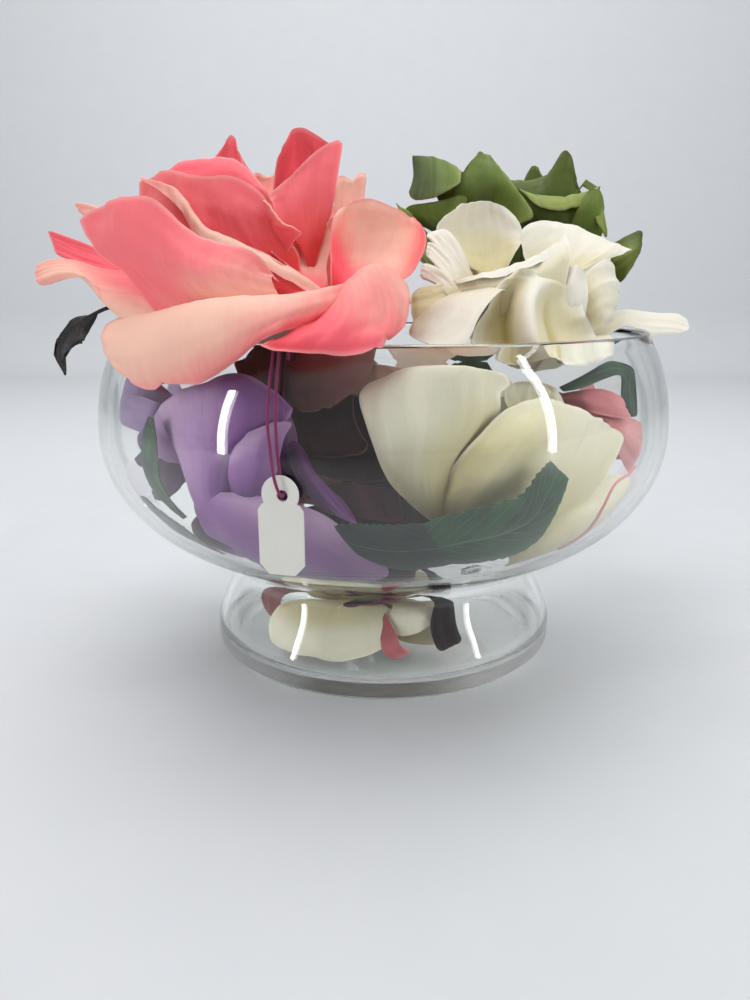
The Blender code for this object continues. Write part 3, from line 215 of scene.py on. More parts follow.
class Petal:
    """A petal along a path from its root to its tip.

    across runs from one edge to the other where the petal is widest. cup bends both edges toward the
    rose's eye, and point narrows the tip. tone is that of its rim, as a patch has it.
    """

    def __init__(self, path, across, cup=0.5, point=0.0, tone=0.5, ruffle=1.0, grid=PLAIN_GRID):
        self.path, self.across = np.array(path, float), np.array(across, float)
        self.cup, self.point, self.ruffle, self.grid = cup, point, ruffle, grid
        # The deep tones at the root are partly the cloth's deeper colour and partly painted shade at the
        # rose's heart.
        self.tones = ((-0.9,), (-0.4,), (tone,), (tone + 0.2,))

    def start_from(self, root, axis, heart):
        """Moves the path's start from the rose's root to the side of its heart."""
        if np.allclose(self.path[0], root):
            out = self.path[1] - root
            out = out - (out @ axis) * axis
            self.path[0] = root + out * min(0.35, 0.7 * heart / np.linalg.norm(out))

    def steps(self):
        return np.linspace(0, 1, self.grid[0])

    def surface(self, u, v, eye):
        """Points of the middle surface, for u from -1 to 1 across and v from 0 to 1 along."""
        curve = smooth_path(self.path, 12)
        steps = np.concatenate([[0], np.cumsum(np.linalg.norm(np.diff(curve, axis=0), axis=1))])
        steps /= steps[-1]
        edge = np.abs(u)
        t = v * (1 - 0.24 * edge**2.4 - self.point * np.minimum(1, 1.5 * edge))
        spine = np.stack([np.interp(t, steps, curve[:, k]) for k in range(3)], -1)
        slope = np.gradient(curve, axis=0)
        along = unit(np.stack([np.interp(t, steps, slope[:, k]) for k in range(3)], -1))
        side = unit(self.across - (along @ self.across)[:, None] * along)
        inward = np.cross(side, along)
        middle = len(curve) // 2
        if np.dot(np.cross(self.across, unit(slope[middle])), eye - curve[middle]) < 0:
            inward = -inward
        width = np.linalg.norm(self.across)
        half = 0.5 * width * (0.14 + 0.86 * np.sin(np.minimum(v / 0.68, 1) * math.pi / 2))
        half = half * (
            1 - 0.16 * np.maximum(0, v / 0.32 - 2.125) ** 2 - self.point * np.maximum(0, v - 0.5)
        )
        arc = self.cup * (1.3 - 0.6 * v) + 1e-6
        lift = half * (1 - np.cos(u * arc)) / arc
        return spine + side * (half * np.sin(u * arc) / arc)[:, None] + inward * lift[:, None]


class Rose:
    """A rose head: its root, the eye that its petals close round, and its cell among the others."""

    def __init__(self, name, root, eye, middle, reach, heart, petals, finish, over_rim=False):
        self.name, self.heart, self.finish, self.over_rim = name, heart, finish, over_rim
        self.root, self.eye, self.middle = (np.array(p, float) for p in (root, eye, middle))
        self.reach, self.petals = reach, petals
        axis = unit(self.eye - self.root)
        for petal in petals:
            petal.start_from(self.root, axis, heart)

    def placed(self, points):
        """Points bent clear of the other roses and of the glass, then lowered with the settled rose."""
        p = points
        for _ in range(2):
            p = self.clear_of_roses(p)
            p = clear_of_glass(p, self.over_rim)
        return p - (0, 0, SETTLED.get(self.name, 0.0))

    def clear_of_roses(self, p):
        for other in ROSES:
            if other is self:
                continue
            point, normal = boundary(self, other)
            held = 1.0
            if self.over_rim and not other.over_rim:
                edge = HELD_TO.get(other.name, 80.0)
                held = 1 - smooth_step(np.hypot(p[:, 0], p[:, 1]), edge, edge + 6.0)
            s = (p - point) @ normal
            p = p + (held * (soft_limit(s, -ROSE_TO_ROSE, 4.0) - s))[:, None] * normal
        return p


def boundary(rose, other):
    """A point of the flat bound between two roses, and its normal toward the other one."""
    for (first, second), (point, normal) in BOUNDS.items():
        if (first, second) == (rose.name, other.name):
            return np.array(point, float), unit(np.array(normal, float))
        if (second, first) == (rose.name, other.name):
            return np.array(point, float), -unit(np.array(normal, float))
    between = other.middle - rose.middle
    share = rose.reach / (rose.reach + other.reach)
    return rose.middle + share * between, unit(between)


def clear_of_glass(p, over_rim):
    """Keeps points inside the bowl or, on a rose that lies over the rim, off both faces of the wall."""
    radius, z = np.hypot(p[:, 0], p[:, 1]), p[:, 2]
    if over_rim:
        flat = np.stack([radius, z], 1)
        away = flat[:, None, :] - WALL_MIDDLE[None, :, :]
        distance = np.linalg.norm(away, axis=2)
        nearest = distance.argmin(axis=1)
        rows = np.arange(len(p))
        gap, direction = distance[rows, nearest], unit(away[rows, nearest])
        kept = -soft_limit(-gap, -(WALL / 2 + OVER_THE_GLASS), 2.0)
        flat = WALL_MIDDLE[nearest] + direction * kept[:, None]
        new_radius, new_z = flat[:, 0], flat[:, 1]
    else:
        new_z = -soft_limit(-z, -(FLOOR + 0.8), 3.0)
        new_radius = soft_limit(radius, inside_radius(new_z, ROSE_TO_GLASS + leaf_room(p)), 5.0)
    scale = new_radius / np.maximum(radius, 1e-6)
    return np.stack([p[:, 0] * scale, p[:, 1] * scale, new_z], 1)


def leaf_room(p):
    """How much further from the glass a rose stays at these points, to leave room for the leaves."""
    room = np.zeros(len(p))
    bearing = np.degrees(np.arctan2(p[:, 0], -p[:, 1]))
    u, v = (g.reshape(-1) for g in np.meshgrid(np.linspace(-1, 1, 5), np.linspace(0, 1, 7)))
    for rows in LEAVES.values():
        leaf = leaf_surface(rows, u, v)
        turn = (bearing[:, None] - leaf[None, :, 0] + 180) % 360 - 180
        distance = np.hypot(np.radians(turn) * 85, p[:, 2, None] - leaf[None, :, 1]).min(axis=1)
        room = np.maximum(room, ROSE_UNDER_LEAF * (1 - smooth_step(distance, 6, 14)))
    return room


def leaf_rows(path, width):
    """Rows across a plain leaf, from its width and its midrib's bearings and heights."""
    rib = smooth_path(path, 2)
    slope = unit(np.gradient(rib * (math.radians(85), 1), axis=0))
    v = np.linspace(0.0, 0.98, len(rib))
    half = 0.5 * width * (0.1 + 0.9 * np.sin(math.pi * (v + 0.02) ** 0.8) ** 0.8)
    side = np.stack([slope[:, 1] / math.radians(85), -slope[:, 0]], -1) * half[:, None]
    return tuple(zip(rib - side, rib, rib + side))


def leaf_surface(rows, u, v):
    """Bearings and heights on a leaf, for u from -1 to 1 across and v from 0 to 1 along."""
    lines = np.stack([through(np.array(row, float), (u + 1) / 2) for row in rows])
    return through(lines, v)


def on_wall(bearing, radius, z):
    """A point from its bearing in degrees (0 at the front, 90 to the right), its radius and its height."""
    a = np.radians(bearing)
    return np.stack([radius * np.sin(a), -radius * np.cos(a), z * np.ones_like(a)], -1)


def opened_rose(root, axis, size, first, open_angle, inner=3, outer=4):
    """The petals of a plain round rose: a closed heart inside a ring that opens."""
    axis = Vector(axis).normalized()
    turn = np.array(axis.to_track_quat("Z", "Y").to_matrix())
    petals = []
    opening = [part * open_angle for part in (0.75, 0.95, 1.2)]
    rings = (
        (inner, first, 0.16, (8, 10, 24), 0.92, 0.80, 0.9, 22, 0.0),
        (outer, first + 40, 0.20, opening, 1.08, 1.10, 0.5, 14, 0.4),
    )
    for count, start, root_out, tilts, length, width, cup, tuck, tone in rings:
        for i in range(count):
            a = math.radians(start + 360 * i / count)
            rho, rise, path = root_out * size, 0.0, []
            for tilt in (tilts[0], *tilts):
                path.append((rho, rise))
                rho += math.sin(math.radians(tilt)) * length * size / 3
                rise += math.cos(math.radians(tilt)) * length * size / 3
            local = np.array([(r * math.cos(a), r * math.sin(a), h) for r, h in path])
            b = a + math.radians(tuck)
            across = np.array([-math.sin(b), math.cos(b), 0]) * width * size
            petals.append(Petal(local @ turn.T + root, turn @ across, cup, point=0.06, tone=tone))
    return petals


def coral_rose():
    c = (-30, -28, 100)
    return [
        Patch(((0.5, 0.9, 1, 0.8, 0.3), (0.9, 1, 1, 0.9, 0.5), (1, 1, 0.9, 0.6, 0.3),
            (0.9, 0.6, 0.3, 0.3, 0.3)),
            ((-69, -50, 113), (-53, -60, 114), (-39, -66, 117), (-25, -68, 118), (-15, -60, 119)),
            ((-78, -44, 114), (-59, -62, 117), (-42, -76, 120), (-25, -80, 121), (-11, -66, 123)),
            ((-79, -50, 107), (-60, -72, 108), (-42, -86, 111), (-27, -89, 116), (-9, -70, 119)),
            ((-74, -58, 102), (-62, -70, 97), (-48, -80, 99), (-36, -87, 105), (-28, -90, 111),
             (-14, -80, 112)),
        ),
        Patch(((0.5, 0.6, 0.6), (0.3, 0.6, 0.6), (-0.3, 0.5, 0.6), (-0.7, 0.0, 0.5)),
            ((-15, -54, 115), (-9, -50, 121), (-2, -46, 124), (4, -42, 122)),
            ((-17, -66, 115), (-10, -64, 124), (-2, -55, 129), (6, -46, 124)),
            ((-23, -84, 112), (-10, -85, 116), (0, -76, 118), (8, -54, 119)),
            ((-30, -92, 109), (-17, -93, 108), (-4, -90, 108), (5, -70, 114)),
        ),
        Patch(((-0.9, 0.0, 0.5, 0.5), (-0.3, 0.7, 0.9, 0.4), (0.3, 0.9, 0.8, 0.2), (0.8, 0.9, 0.7, 0.1)),
            ((-15, -47, 122), (-10, -43, 123), (-3, -42, 124), (4, -42, 124)),
            ((-15, -42, 133), (-9, -31, 134), (1, -31, 134), (10, -46, 128)),
            ((-14, -38, 141), (-8, -27, 143), (3, -27, 142), (12, -46, 135)),
            ((-12, -32, 146), (-4, -26, 149), (5, -28, 145), (12, -39, 140)),
        ),
        Patch(((-0.8, -0.3, 0.2), (-0.1, 0.7, 0.9), (0.5, 0.9, 1)),
            ((-20, -48, 122), (-18, -47, 122), (-16, -45, 122)),
            ((-29, -44, 130), (-23, -36, 130), (-16, -34, 133)),
            ((-33, -43, 133), (-25, -34, 136), (-18, -30, 141), (-11, -27, 147)),
        ),
        Patch(((0.1, 0.4, 0.8, 0.6), (0, 0, 0.6, 0.7), (0, 0, 0.1, 0.6), (0.2, 0.1, 0, 0.4)),
            ((-61, -56, 115), (-47, -64, 116), (-35, -66, 117), (-27, -62, 118)),
            ((-74, -44, 127), (-57, -60, 123), (-41, -70, 121), (-27, -66, 120)),
            ((-84, -38, 135), (-65, -56, 133), (-46, -68, 128), (-29, -66, 125)),
            ((-89, -32, 144), (-73, -44, 147), (-62, -52, 146), (-53, -58, 139), (-41, -62, 133),
             (-32, -64, 130), (-27, -62, 123)),
        ),
        Patch(((-0.1, -0.2, -0.4, -0.6), (0.1, 0, -0.2, 0), (0.2, 0.5, 0.8, 0.8), (0.7, 0.9, 1, 0.9)),
            ((-60, -46, 130), (-46, -53, 126), (-33, -56, 122), (-23, -58, 119)),
            ((-70, -36, 144), (-58, -47, 138), (-45, -55, 131), (-31, -58, 126), (-18, -59, 120)),
            ((-70, -35, 153), (-58, -44, 149), (-47, -52, 138), (-32, -56, 132), (-16, -58, 122)),
            ((-66, -39, 150), (-57, -48, 145), (-48, -56, 135), (-33, -60, 129), (-16, -61, 120)),
        ),
        Patch(((-0.4, -0.5, -0.8, -1), (0, -0.2, -0.5, -0.9), (0.1, 0, -0.2, -0.6), (0.3, 0.2, 0.1, -0.1)),
            ((-54, -40, 129), (-42, -43, 128), (-32, -43, 129), (-24, -41, 131)),
            ((-63, -34, 141), (-51, -40, 138), (-38, -42, 137), (-26, -41, 135)),
            ((-69, -29, 150), (-53, -37, 147), (-40, -41, 145), (-28, -41, 138)),
            ((-73, -24, 155), (-65, -28, 156), (-53, -34, 154), (-41, -38, 153), (-34, -40, 148),
             (-30, -42, 140), (-25, -42, 136)),
        ),
        Patch(((-0.5, -0.5, -0.6), (-0.2, -0.2, -0.4), (0.1, 0.1, 0.3)),
            ((-59, -26, 137), (-44, -30, 137), (-32, -32, 135)),
            ((-67, -18, 153), (-50, -22, 153), (-34, -30, 146)),
            ((-70, -13, 158), (-65, -12, 161), (-56, -13, 163), (-49, -15, 163), (-42, -20, 159),
             (-35, -28, 151), (-29, -34, 140)),
        ),
        Patch(((-0.5,), (0.1,), (0.2,)),
            ((-52, -6, 149), (-46, -6, 149), (-39, -10, 148)),
            ((-56, -1, 162), (-50, 2, 163), (-41, -3, 156)),
            ((-54, 1, 166), (-52, 2, 169), (-50, 3, 172), (-48, 2, 167), (-45, 1, 161)),
        ),
        Patch(((-0.7,), (-0.1,), (0,), (0.1,)),
            ((-31, -26, 137), (-26, -22, 137), (-18, -22, 139)),
            ((-33, -22, 150), (-25, -13, 154), (-16, -16, 153)),
            ((-32, -19, 160), (-26, -11, 164), (-16, -14, 162)),
            ((-31, -18, 163), (-29, -16, 168), (-25, -13, 171), (-21, -13, 169), (-16, -16, 165)),
        ),
        Patch(((-1, -0.9, -0.8), (-0.6, -0.6, -0.4), (0, -0.2, -0.2), (0.5, 0.1, 0)),
            ((-25, -38, 136), (-21, -36, 136), (-18, -33, 137)),
            ((-30, -38, 141), (-23, -34, 144), (-16, -28, 144)),
            ((-32, -36, 146), (-23, -31, 151), (-14, -25, 155)),
            ((-33, -34, 148), (-25, -29, 157), (-18, -23, 164), (-12, -19, 168)),
        ),
        Patch(((0.2, 0, -0.4), (0.7, 0.6, 0.5)),
            ((-35, -38, 148), (-33, -40, 144), (-30, -42, 139), (-25, -43, 136)),
            ((-33, -42, 147), (-30, -44, 143), (-27, -45, 140), (-22, -44, 139)),
        ),
        Patch(((0.5,), (0.8,), (0.9,)),
            ((-16, -16, 141), (-11, -14, 142), (-6, -12, 145)),
            ((-15, -12, 151), (-11, -8, 153), (-6, -7, 154)),
            ((-15, -10, 157), (-13, -8, 158), (-10, -6, 157), (-8, -5, 159), (-5, -4, 160)),
        ),
        Patch(((0.3,), (0.6,), (0.8,)),
            ((-40, -20, 148), (-35, -20, 148), (-31, -20, 148)),
            ((-41, -18, 154), (-37, -15, 154), (-32, -15, 154)),
            ((-42, -16, 157), (-39, -15, 158), (-36, -13, 157), (-33, -13, 161)),
        ),
        Patch(((-0.3,), (0,), (0,), (0.1,)),
            ((-72, -24, 132), (-70, -30, 127), (-69, -36, 122)),
            ((-86, -16, 134), (-84, -22, 130), (-81, -28, 127)),
            ((-98, -12, 138), (-98, -14, 134), (-96, -18, 131)),
            ((-110, -8, 142), (-108, -9, 139), (-106, -12, 134)),
        ),
        Patch(((0.6,), (0.8,), (0.5,)),
            ((-77, -22, 142), (-77, -24, 137), (-78, -26, 134)),
            ((-90, -14, 148), (-89, -16, 144), (-88, -18, 141)),
            ((-100, -8, 150), (-98, -9, 147), (-94, -12, 144)),
        ),
        Patch(((0, 0, 0.6), (0, 0.2, 1), (0.1, 0.6, 1), (0.5, 0.8, 0.9), (0.7, 0.8, 0.5)),
            ((-51, -46, 120), (-53, -54, 116), (-57, -56, 114)),
            ((-70, -32, 127), (-67, -48, 120), (-64, -56, 115)),
            ((-86, -24, 129), (-84, -38, 124), (-76, -48, 115)),
            ((-99, -22, 132), (-95, -29, 129), (-88, -36, 126)),
            ((-107, -22, 131), (-107, -26, 127), (-104, -29, 123)),
        ),
        Petal((c, (-59, -6, 132), (-74, 4, 146), (-79, 8, 153)), (27, 30, 12), cup=0.6, tone=0.5),
        Petal((c, (-52, 8, 116), (-66, 26, 128), (-80, 34, 130)), (30, 34, 6), cup=0.4, tone=0.7),
        Petal((c, (-30, 6, 118), (-32, 26, 136), (-36, 36, 142)), (44, 4, 0), cup=0.5, tone=0.6),
        Petal((c, (-44, -4, 130), (-50, 8, 146), (-52, 14, 156)), (36, 16, 0), cup=0.8, tone=0.4),
        Petal((c, (-18, -4, 128), (-14, 8, 144), (-12, 12, 152)), (30, -12, 0), cup=0.8, tone=0.4),
        Petal((c, (-10, -4, 116), (-2, 10, 132), (2, 16, 138)), (22, -26, 0), 0.5, tone=0.6),
    ]


# The dark curled leaf outside the rim, and its stem from under the coral rose
OUTER_STEM = (
    (-36, -30, 102), (-48, -34, 110), (-60, -38, 116), (-71, -39.5, 118), (-80, -40, 117.5),
    (-88, -40, 114),
)
RIBBON = Patch(((-0.4,), (0.5,), (0.5,), (0.6,), (0.3,), (-0.9,), (-1,)),
    ((53, -32, 98), (55, -34, 94)), ((60, -30, 100), (61, -33, 95)), ((67, -26, 102), (68, -29, 97)),
    ((75, -20, 102), (75, -22, 98)), ((83, -14, 99), (78, -17, 96)), ((85, -12, 92), (79, -15, 90)),
    ((87, -10, 83), (83, -12, 83)),
)
OUTER_LEAF = Petal(
    ((-84, -40, 116), (-91, -40, 112), (-95.5, -41, 105), (-93.5, -43, 97.5)), (11, -5, 2), 0.8, point=0.3
)


FOOT_BITS = [
    ("foot_leaf", "burgundy", "leaf_dark", Patch(((-1,), (-1,), (-0.8,)),
        ((16, -40, 28), (22, -40, 28)), ((15, -42, 19), (23, -41, 20)), ((18, -42, 10), (26, -38, 12)))),
    ("foot_pink", "dusty_pink", "dusty_pink_silk", Patch(((-0.6,), (0,), (0.4,)),
        ((-1, -42, 15), (4, -43, 17)), ((0, -44, 11), (6, -45, 13)), ((5, -44, 8.5), (10, -42, 11)))),
    ("foot_brown", "mauve", "mauve_silk", Patch(((-0.5,), (0,), (0.4,)),
        ((-36, -22, 30), (-30, -26, 29)), ((-41, -22, 22), (-34, -28, 21)),
        ((-38, -24, 15), (-31, -30, 14)))),
]
PINK_STEM = (
    (49.7, 74.4), (47.5, 72.6), (44.3, 71.4), (43.0, 69.0), (42.7, 65.8), (42.8, 61.5), (42.9, 57.6),
    (42.4, 54.8), (41.7, 52.6), (41.3, 50.9), (41.2, 49.3),
)


def make_strand(name, points, diameter, material, slot, node=None, rounds=3):
    """A round stem, wire or thread along the points, in millimetres."""
    curve = bpy.data.curves.new(name, "CURVE")
    curve.dimensions = "3D"
    curve.bevel_depth = diameter / 2 * MM
    curve.bevel_resolution = rounds
    curve.use_fill_caps = True
    spline = curve.splines.new("POLY")
    spline.points.add(len(points) - 1)
    for point, place in zip(spline.points, points):
        point.co = (*(np.array(place) * MM), 1)
    curve.materials.append(material)
    strand = new_object(name, curve)
    return dress(strand, slot, *([node] if node else []))


def ivory_rose_top():
    c = (46, -8, 98)
    return [
        Patch(((-0.4, -0.5, -0.4), (0.1, -0.4, -0.1), (0.9, 0.5, 0.9), (1, 1, 1)),
            ((29, -10, 130), (34, -12, 128), (40, -10, 130)),
            ((21, -11, 139), (28, -3, 137), (37, -1, 137), (44, -7, 139)),
            ((18, -10, 144), (26, 1, 147), (36, 4, 148), (45, -3, 144)),
            ((21, -7, 148), (28, 0, 152), (36, 3, 153), (43, 0, 149)),
        ),
        Patch(((-0.3, -0.4, -0.3), (0.4, 0.6, 0.8), (1, 1, 1)),
            ((49, -14, 127), (55, -15, 127), (61, -18, 129)),
            ((46, -9, 136), (55, -6, 138), (64, -10, 137), (76, -13, 136)),
            ((45, -4, 145), (53, 0, 147), (64, 0, 146), (72, -4, 141), (81, -9, 138)),
        ),
        Patch(((-0.3,), (0,), (0.9,), (1,)),
            ((27, -36, 121), (36, -38, 122), (46, -37, 124), (54, -34, 125)),
            ((23, -35, 124), (34, -38, 126), (46, -36, 129), (56, -30, 134)),
            ((21, -33, 127), (34, -34, 130), (46, -30, 134), (56, -22, 141)),
            ((22, -36, 126), (34, -38, 129), (46, -34, 132), (57, -24, 139)),
        ),
        Patch(((0.3,), (0.9,), (1,)),
            ((25, -27, 125), (28, -25, 127)), ((18, -19, 136), (24, -17, 138)),
            ((13, -12, 142), (20, -10, 144)),
        ),
        Patch(((0.3,), (0.9,), (1,)),
            ((22, -30, 124), (24, -28, 126)), ((17, -24, 131), (21, -21, 134)),
            ((13, -19, 135), (14, -15, 140)),
        ),
        Patch(((0.3,), (0.9,), (1,)),
            ((19, -32, 123), (23, -30, 125)), ((16, -28, 126), (18, -26, 130)),
            ((11, -24, 128), (12, -20, 133)),
        ),
        Patch(((-0.3,), (0.5,), (0.9,)),
            ((59, -24, 120), (59, -27, 115), (60, -31, 110)),
            ((63, -21, 129), (66, -28, 122), (67, -31, 114)),
            ((72, -17, 135), (75, -19, 124), (70, -26, 114)),
        ),
        Patch(((0.4,), (0.9,), (1,)),
            ((50, -36, 110), (54, -37, 109), (58, -37, 108)),
            ((53, -33, 122), (56, -37, 120), (60, -36, 119)),
            ((55, -29, 130), (57, -30, 131), (61, -27, 129)),
        ),
        Patch(((0.9, 0.1, 0.9, 0.1, 0.9), (0.7, -0.7, 0.9, -0.6, 0.7), (0.7, -0.9, 0.8, -0.8, 0.7),
            (0.8, -0.2, 0.7, -0.4, 0.8)),
            ((34, -37, 126), (39, -41, 129), (45, -39, 128), (52, -35, 127), (59, -31, 124)),
            ((29, -45, 118), (36, -36, 120), (41, -52, 121), (51, -37, 119), (59, -39, 118)),
            ((25, -52, 110), (35, -40, 110), (41, -62, 111), (53, -42, 110), (62, -41, 112)),
            ((29, -57, 106), (37, -48, 102), (44, -64, 103), (54, -48, 102), (63, -43, 107)),
        ),
        Patch(((0.4, 0.5, 0), (0.9, 0.8, 0.3), (1, 0.9, 0.2), (0.9, 0.8, 0.1)),
            ((34, -42, 124), (29, -35, 125), (24, -30, 124)),
            ((27, -50, 117), (21, -42, 120), (14, -35, 120)),
            ((22, -58, 110), (15, -48, 114), (10, -38, 117)),
            ((15, -60, 107), (10, -52, 109), (6, -43, 111)),
        ),
        Patch(((-0.4,), (-0.2,), (-0.5,)),
            ((29, -31, 122), (26, -29, 125), (23, -27, 127)),
            ((18, -38, 118), (17, -33, 122), (15, -29, 126)), ((9, -41, 114), (8, -35, 120), (9, -29, 125)),
        ),
        Patch(((0.2,), (0.7,), (1,), (1,)),
            ((68, -10, 114), (68, -16, 110), (66, -20, 106)), ((83, 3, 118), (80, -8, 114), (78, -14, 110)),
            ((95, 6, 117), (92, -4, 114), (90, -10, 110)), ((103, 6, 117), (105, 0, 113), (100, -6, 111)),
        ),
        Patch(((0.5,), (0.8,), (0.9,)),
            ((53, -40, 110), (60, -38, 110), (69, -30, 111)),
            ((49, -49, 105), (58, -46, 106), (71, -36, 108)),
            ((50, -53, 99), (54, -51, 100), (60, -48, 103), (77, -33, 109)),
        ),
        Petal((c, (60, 6, 118), (72, 10, 132), (78, 12, 138)), (14, -28, 0), cup=0.6, tone=0.7),
        Petal((c, (28, 2, 116), (24, 8, 130), (22, 10, 140)), (20, 16, 0), cup=0.7, tone=0.7),
    ]


def green_rose():
    c = (46, 50, 104)
    return [
        Patch(((-0.4, -0.2, 0.2), (-0.8, 0.1, 0.9), (-1, -0.3, 0.7), (-1, -0.6, 0.2)),
            ((25, 54, 151), (30, 54, 153), (36, 54, 154)), ((11, 44, 172), (20, 47, 172), (30, 46, 167)),
            ((11, 38, 163), (20, 38, 164), (29, 40, 163)), ((8, 32, 155), (18, 33, 156), (28, 36, 161)),
        ),
        Patch(((-0.8,), (-0.5,), (0.3,)),
            ((22, 42, 143), (27, 42, 145), (33, 42, 147)), ((11, 36, 149), (21, 36, 148), (32, 38, 151)),
            ((8, 34, 154), (19, 36, 155), (31, 41, 159)),
        ),
        Patch(((-0.7, -0.7, 0.6), (-0.3, -0.5, 0.9), (-0.2, -0.1, 0.9), (0.2, 0.3, 0.7)),
            ((29, 44, 148), (35, 41, 147), (41, 40, 148), (51, 41, 147)),
            ((27, 44, 159), (34, 41, 159), (40, 37, 161), (57, 41, 151)),
            ((31, 47, 167), (35, 45, 168), (40, 41, 168), (51, 45, 159)),
            ((35, 49, 173), (37, 49, 174), (40, 46, 172), (46, 49, 166)),
        ),
        Patch(((-0.5,), (0, 0.1, -0.2), (0.4, 0.1, -0.4)),
            ((53, 58, 152), (60, 56, 151), (70, 55, 151), (82, 54, 153)),
            ((50, 61, 162), (58, 59, 160), (67, 58, 161), (79, 56, 160)),
            ((48, 66, 167), (58, 65, 167), (66, 64, 169), (72, 62, 177), (77, 58, 164)),
        ),
        Patch(((-0.9,), (-0.6,), (0.9,), (1,)),
            ((54, 50, 147), (63, 47, 145), (72, 45, 145), (81, 46, 147)),
            ((53, 52, 156), (61, 46, 152), (69, 44, 150), (82, 45, 156)),
            ((51, 54, 162), (60, 49, 159), (69, 47, 158), (83, 46, 162)),
            ((55, 50, 159), (61, 44, 154), (68, 42, 153), (81, 43, 158)),
        ),
        Patch(((-0.3,), (0.2,), (0.4,)),
            ((71, 44, 145), (77, 42, 145), (84, 42, 145)), ((74, 43, 153), (78, 40, 154), (84, 43, 151)),
            ((76, 44, 157), (80, 42, 160), (84, 45, 156)),
        ),
        Patch(((0.2,), (0.7,), (0.6,)),
            ((80, 46, 159), (83, 46, 160)), ((80, 42, 152), (84, 42, 152)), ((82, 38, 146), (85, 37, 142)),
        ),
        Patch(((-0.5,), (-0.2, 0.4, -0.3), (0, 0.6, 0.3), (-0.6, 0, 0.2)),
            ((84, 46, 141), (84, 42, 133), (86, 38, 125)), ((88, 42, 141), (88, 35, 135), (89, 32, 126)),
            ((94, 39, 144), (93, 31, 137), (92, 30, 130)), ((97, 36, 146), (97, 33, 140), (95, 31, 134)),
        ),
        Patch(((-0.5,), (-0.2,), (0,)),
            ((57, 74, 158), (63, 74, 158), (68, 74, 158)), ((59, 76, 168), (63, 77, 169), (67, 76, 168)),
            ((61, 78, 173), (63, 78, 174), (66, 78, 171)),
        ),
        Patch(((0.5,), (0.8,), (0.7,)),
            ((13, 36, 148), (12, 34, 143)), ((7, 28, 152), (7, 26, 148)), ((1, 24, 153), (3, 22, 150)),
        ),
        Petal((c, (58, 68, 145), (62, 74, 160), (63, 78, 168)), (30, -10, -3), cup=0.7, point=0.2,
            tone=0.4),
        Petal((c, (36, 76, 134), (30, 88, 148), (24, 92, 156)), (34, 14, 0), cup=0.7, point=0.2, tone=0.6),
        Petal((c, (20, 62, 132), (6, 70, 146), (-2, 74, 150)), (14, 30, 0), cup=0.6, point=0.2, tone=0.5),
        Petal((c, (58, 62, 111), (72, 76, 113), (86, 90, 107)), (-22, 26, 0), cup=0.3, point=0.15,
            tone=0.6),
    ]


def purple_rose():
    c = (-36, -54, 62)
    return [
        Patch(((0.2, 0, -0.3), (0.7, 0.4, -0.2), (0.9, 0.4, -0.6), (1, 0.5, -0.4)),
            ((-52, -70, 65), (-46, -73, 66), (-40, -72, 68)),
            ((-56, -70, 79), (-46, -79, 80), (-38, -76, 80)),
            ((-62, -64, 89), (-47, -77, 92), (-35, -80, 93), (-25, -74, 91)),
            ((-64, -60, 92), (-58, -66, 96), (-47, -71, 100), (-37, -73, 103), (-27, -73, 97),
             (-24, -71, 94)),
        ),
        Patch(((-1, -1, -0.7), (-0.3, -0.4, 0.1), (0.7, 0.4, 0.4), (0.9, 0.8, 0.7)),
            ((-39, -73, 68), (-35, -75, 68), (-31, -73, 69)),
            ((-40, -76, 79), (-33, -84, 80), (-28, -77, 78)),
            ((-37, -79, 85), (-31, -83, 88), (-26, -76, 87)),
            ((-35, -77, 88), (-29, -79, 90), (-24, -73, 91)),
        ),
        Patch(((0.2, -0.3, -0.9), (0.9, 0.2, -0.7), (0.5, 0, -0.5), (0.7, 0.3, 0)),
            ((-27, -60, 83), (-25, -59, 84), (-23, -58, 82)),
            ((-25, -65, 75), (-21, -70, 78), (-17, -65, 72)),
            ((-20, -68, 68), (-14, -72, 69), (-10, -66, 66)),
            ((-13, -70, 64), (-9, -72, 63), (-5, -67, 55)),
        ),
        Patch(((-0.2, -0.4, 0), (0.3, 0, 0.2), (0.9, 0.2, 0.1), (1, 0.3, 0.2), (0.7, 0.4, 0.2),
            (0.5, 0.4, 0.3)),
            ((-52, -66, 67), (-53, -68, 63), (-53, -66, 57)),
            ((-44, -75, 72), (-44, -81, 66), (-42, -76, 52)),
            ((-31, -79, 72), (-30, -85, 63), (-32, -76, 46)),
            ((-17, -77, 67), (-16, -82, 60), (-19, -74, 48)), ((-4, -70, 54), (-5, -72, 51), (-9, -68, 43)),
            ((2, -66, 47), (1, -65, 43), (0, -62, 37)),
        ),
        Patch(((0.2,), (0.4,), (0.1,)),
            ((-37, -68, 47), (-37, -66, 43)), ((-21, -69, 48), (-22, -65, 39)),
            ((-8, -65, 43), (-9, -61, 39)),
        ),
        Patch(((-1,), (-0.8,), (-0.4,)),
            ((-31, -58, 73), (-27, -56, 71), (-22, -56, 68)),
            ((-30, -62, 80), (-27, -58, 80), (-22, -60, 77)),
            ((-29, -64, 89), (-27, -62, 85), (-24, -62, 83)),
        ),
        Petal((c, (-50, -60, 82), (-60, -56, 86), (-64, -50, 92)), (14, -18, 10), cup=0.6),
        Petal((c, (-46, -54, 54), (-50, -55, 49), (-48, -54, 45)), (20, -18, 0), cup=0.6),
        Petal((c, (-34, -62, 84), (-36, -64, 92), (-38, -67, 97)), (22, -6, 0), cup=0.9),
    ]


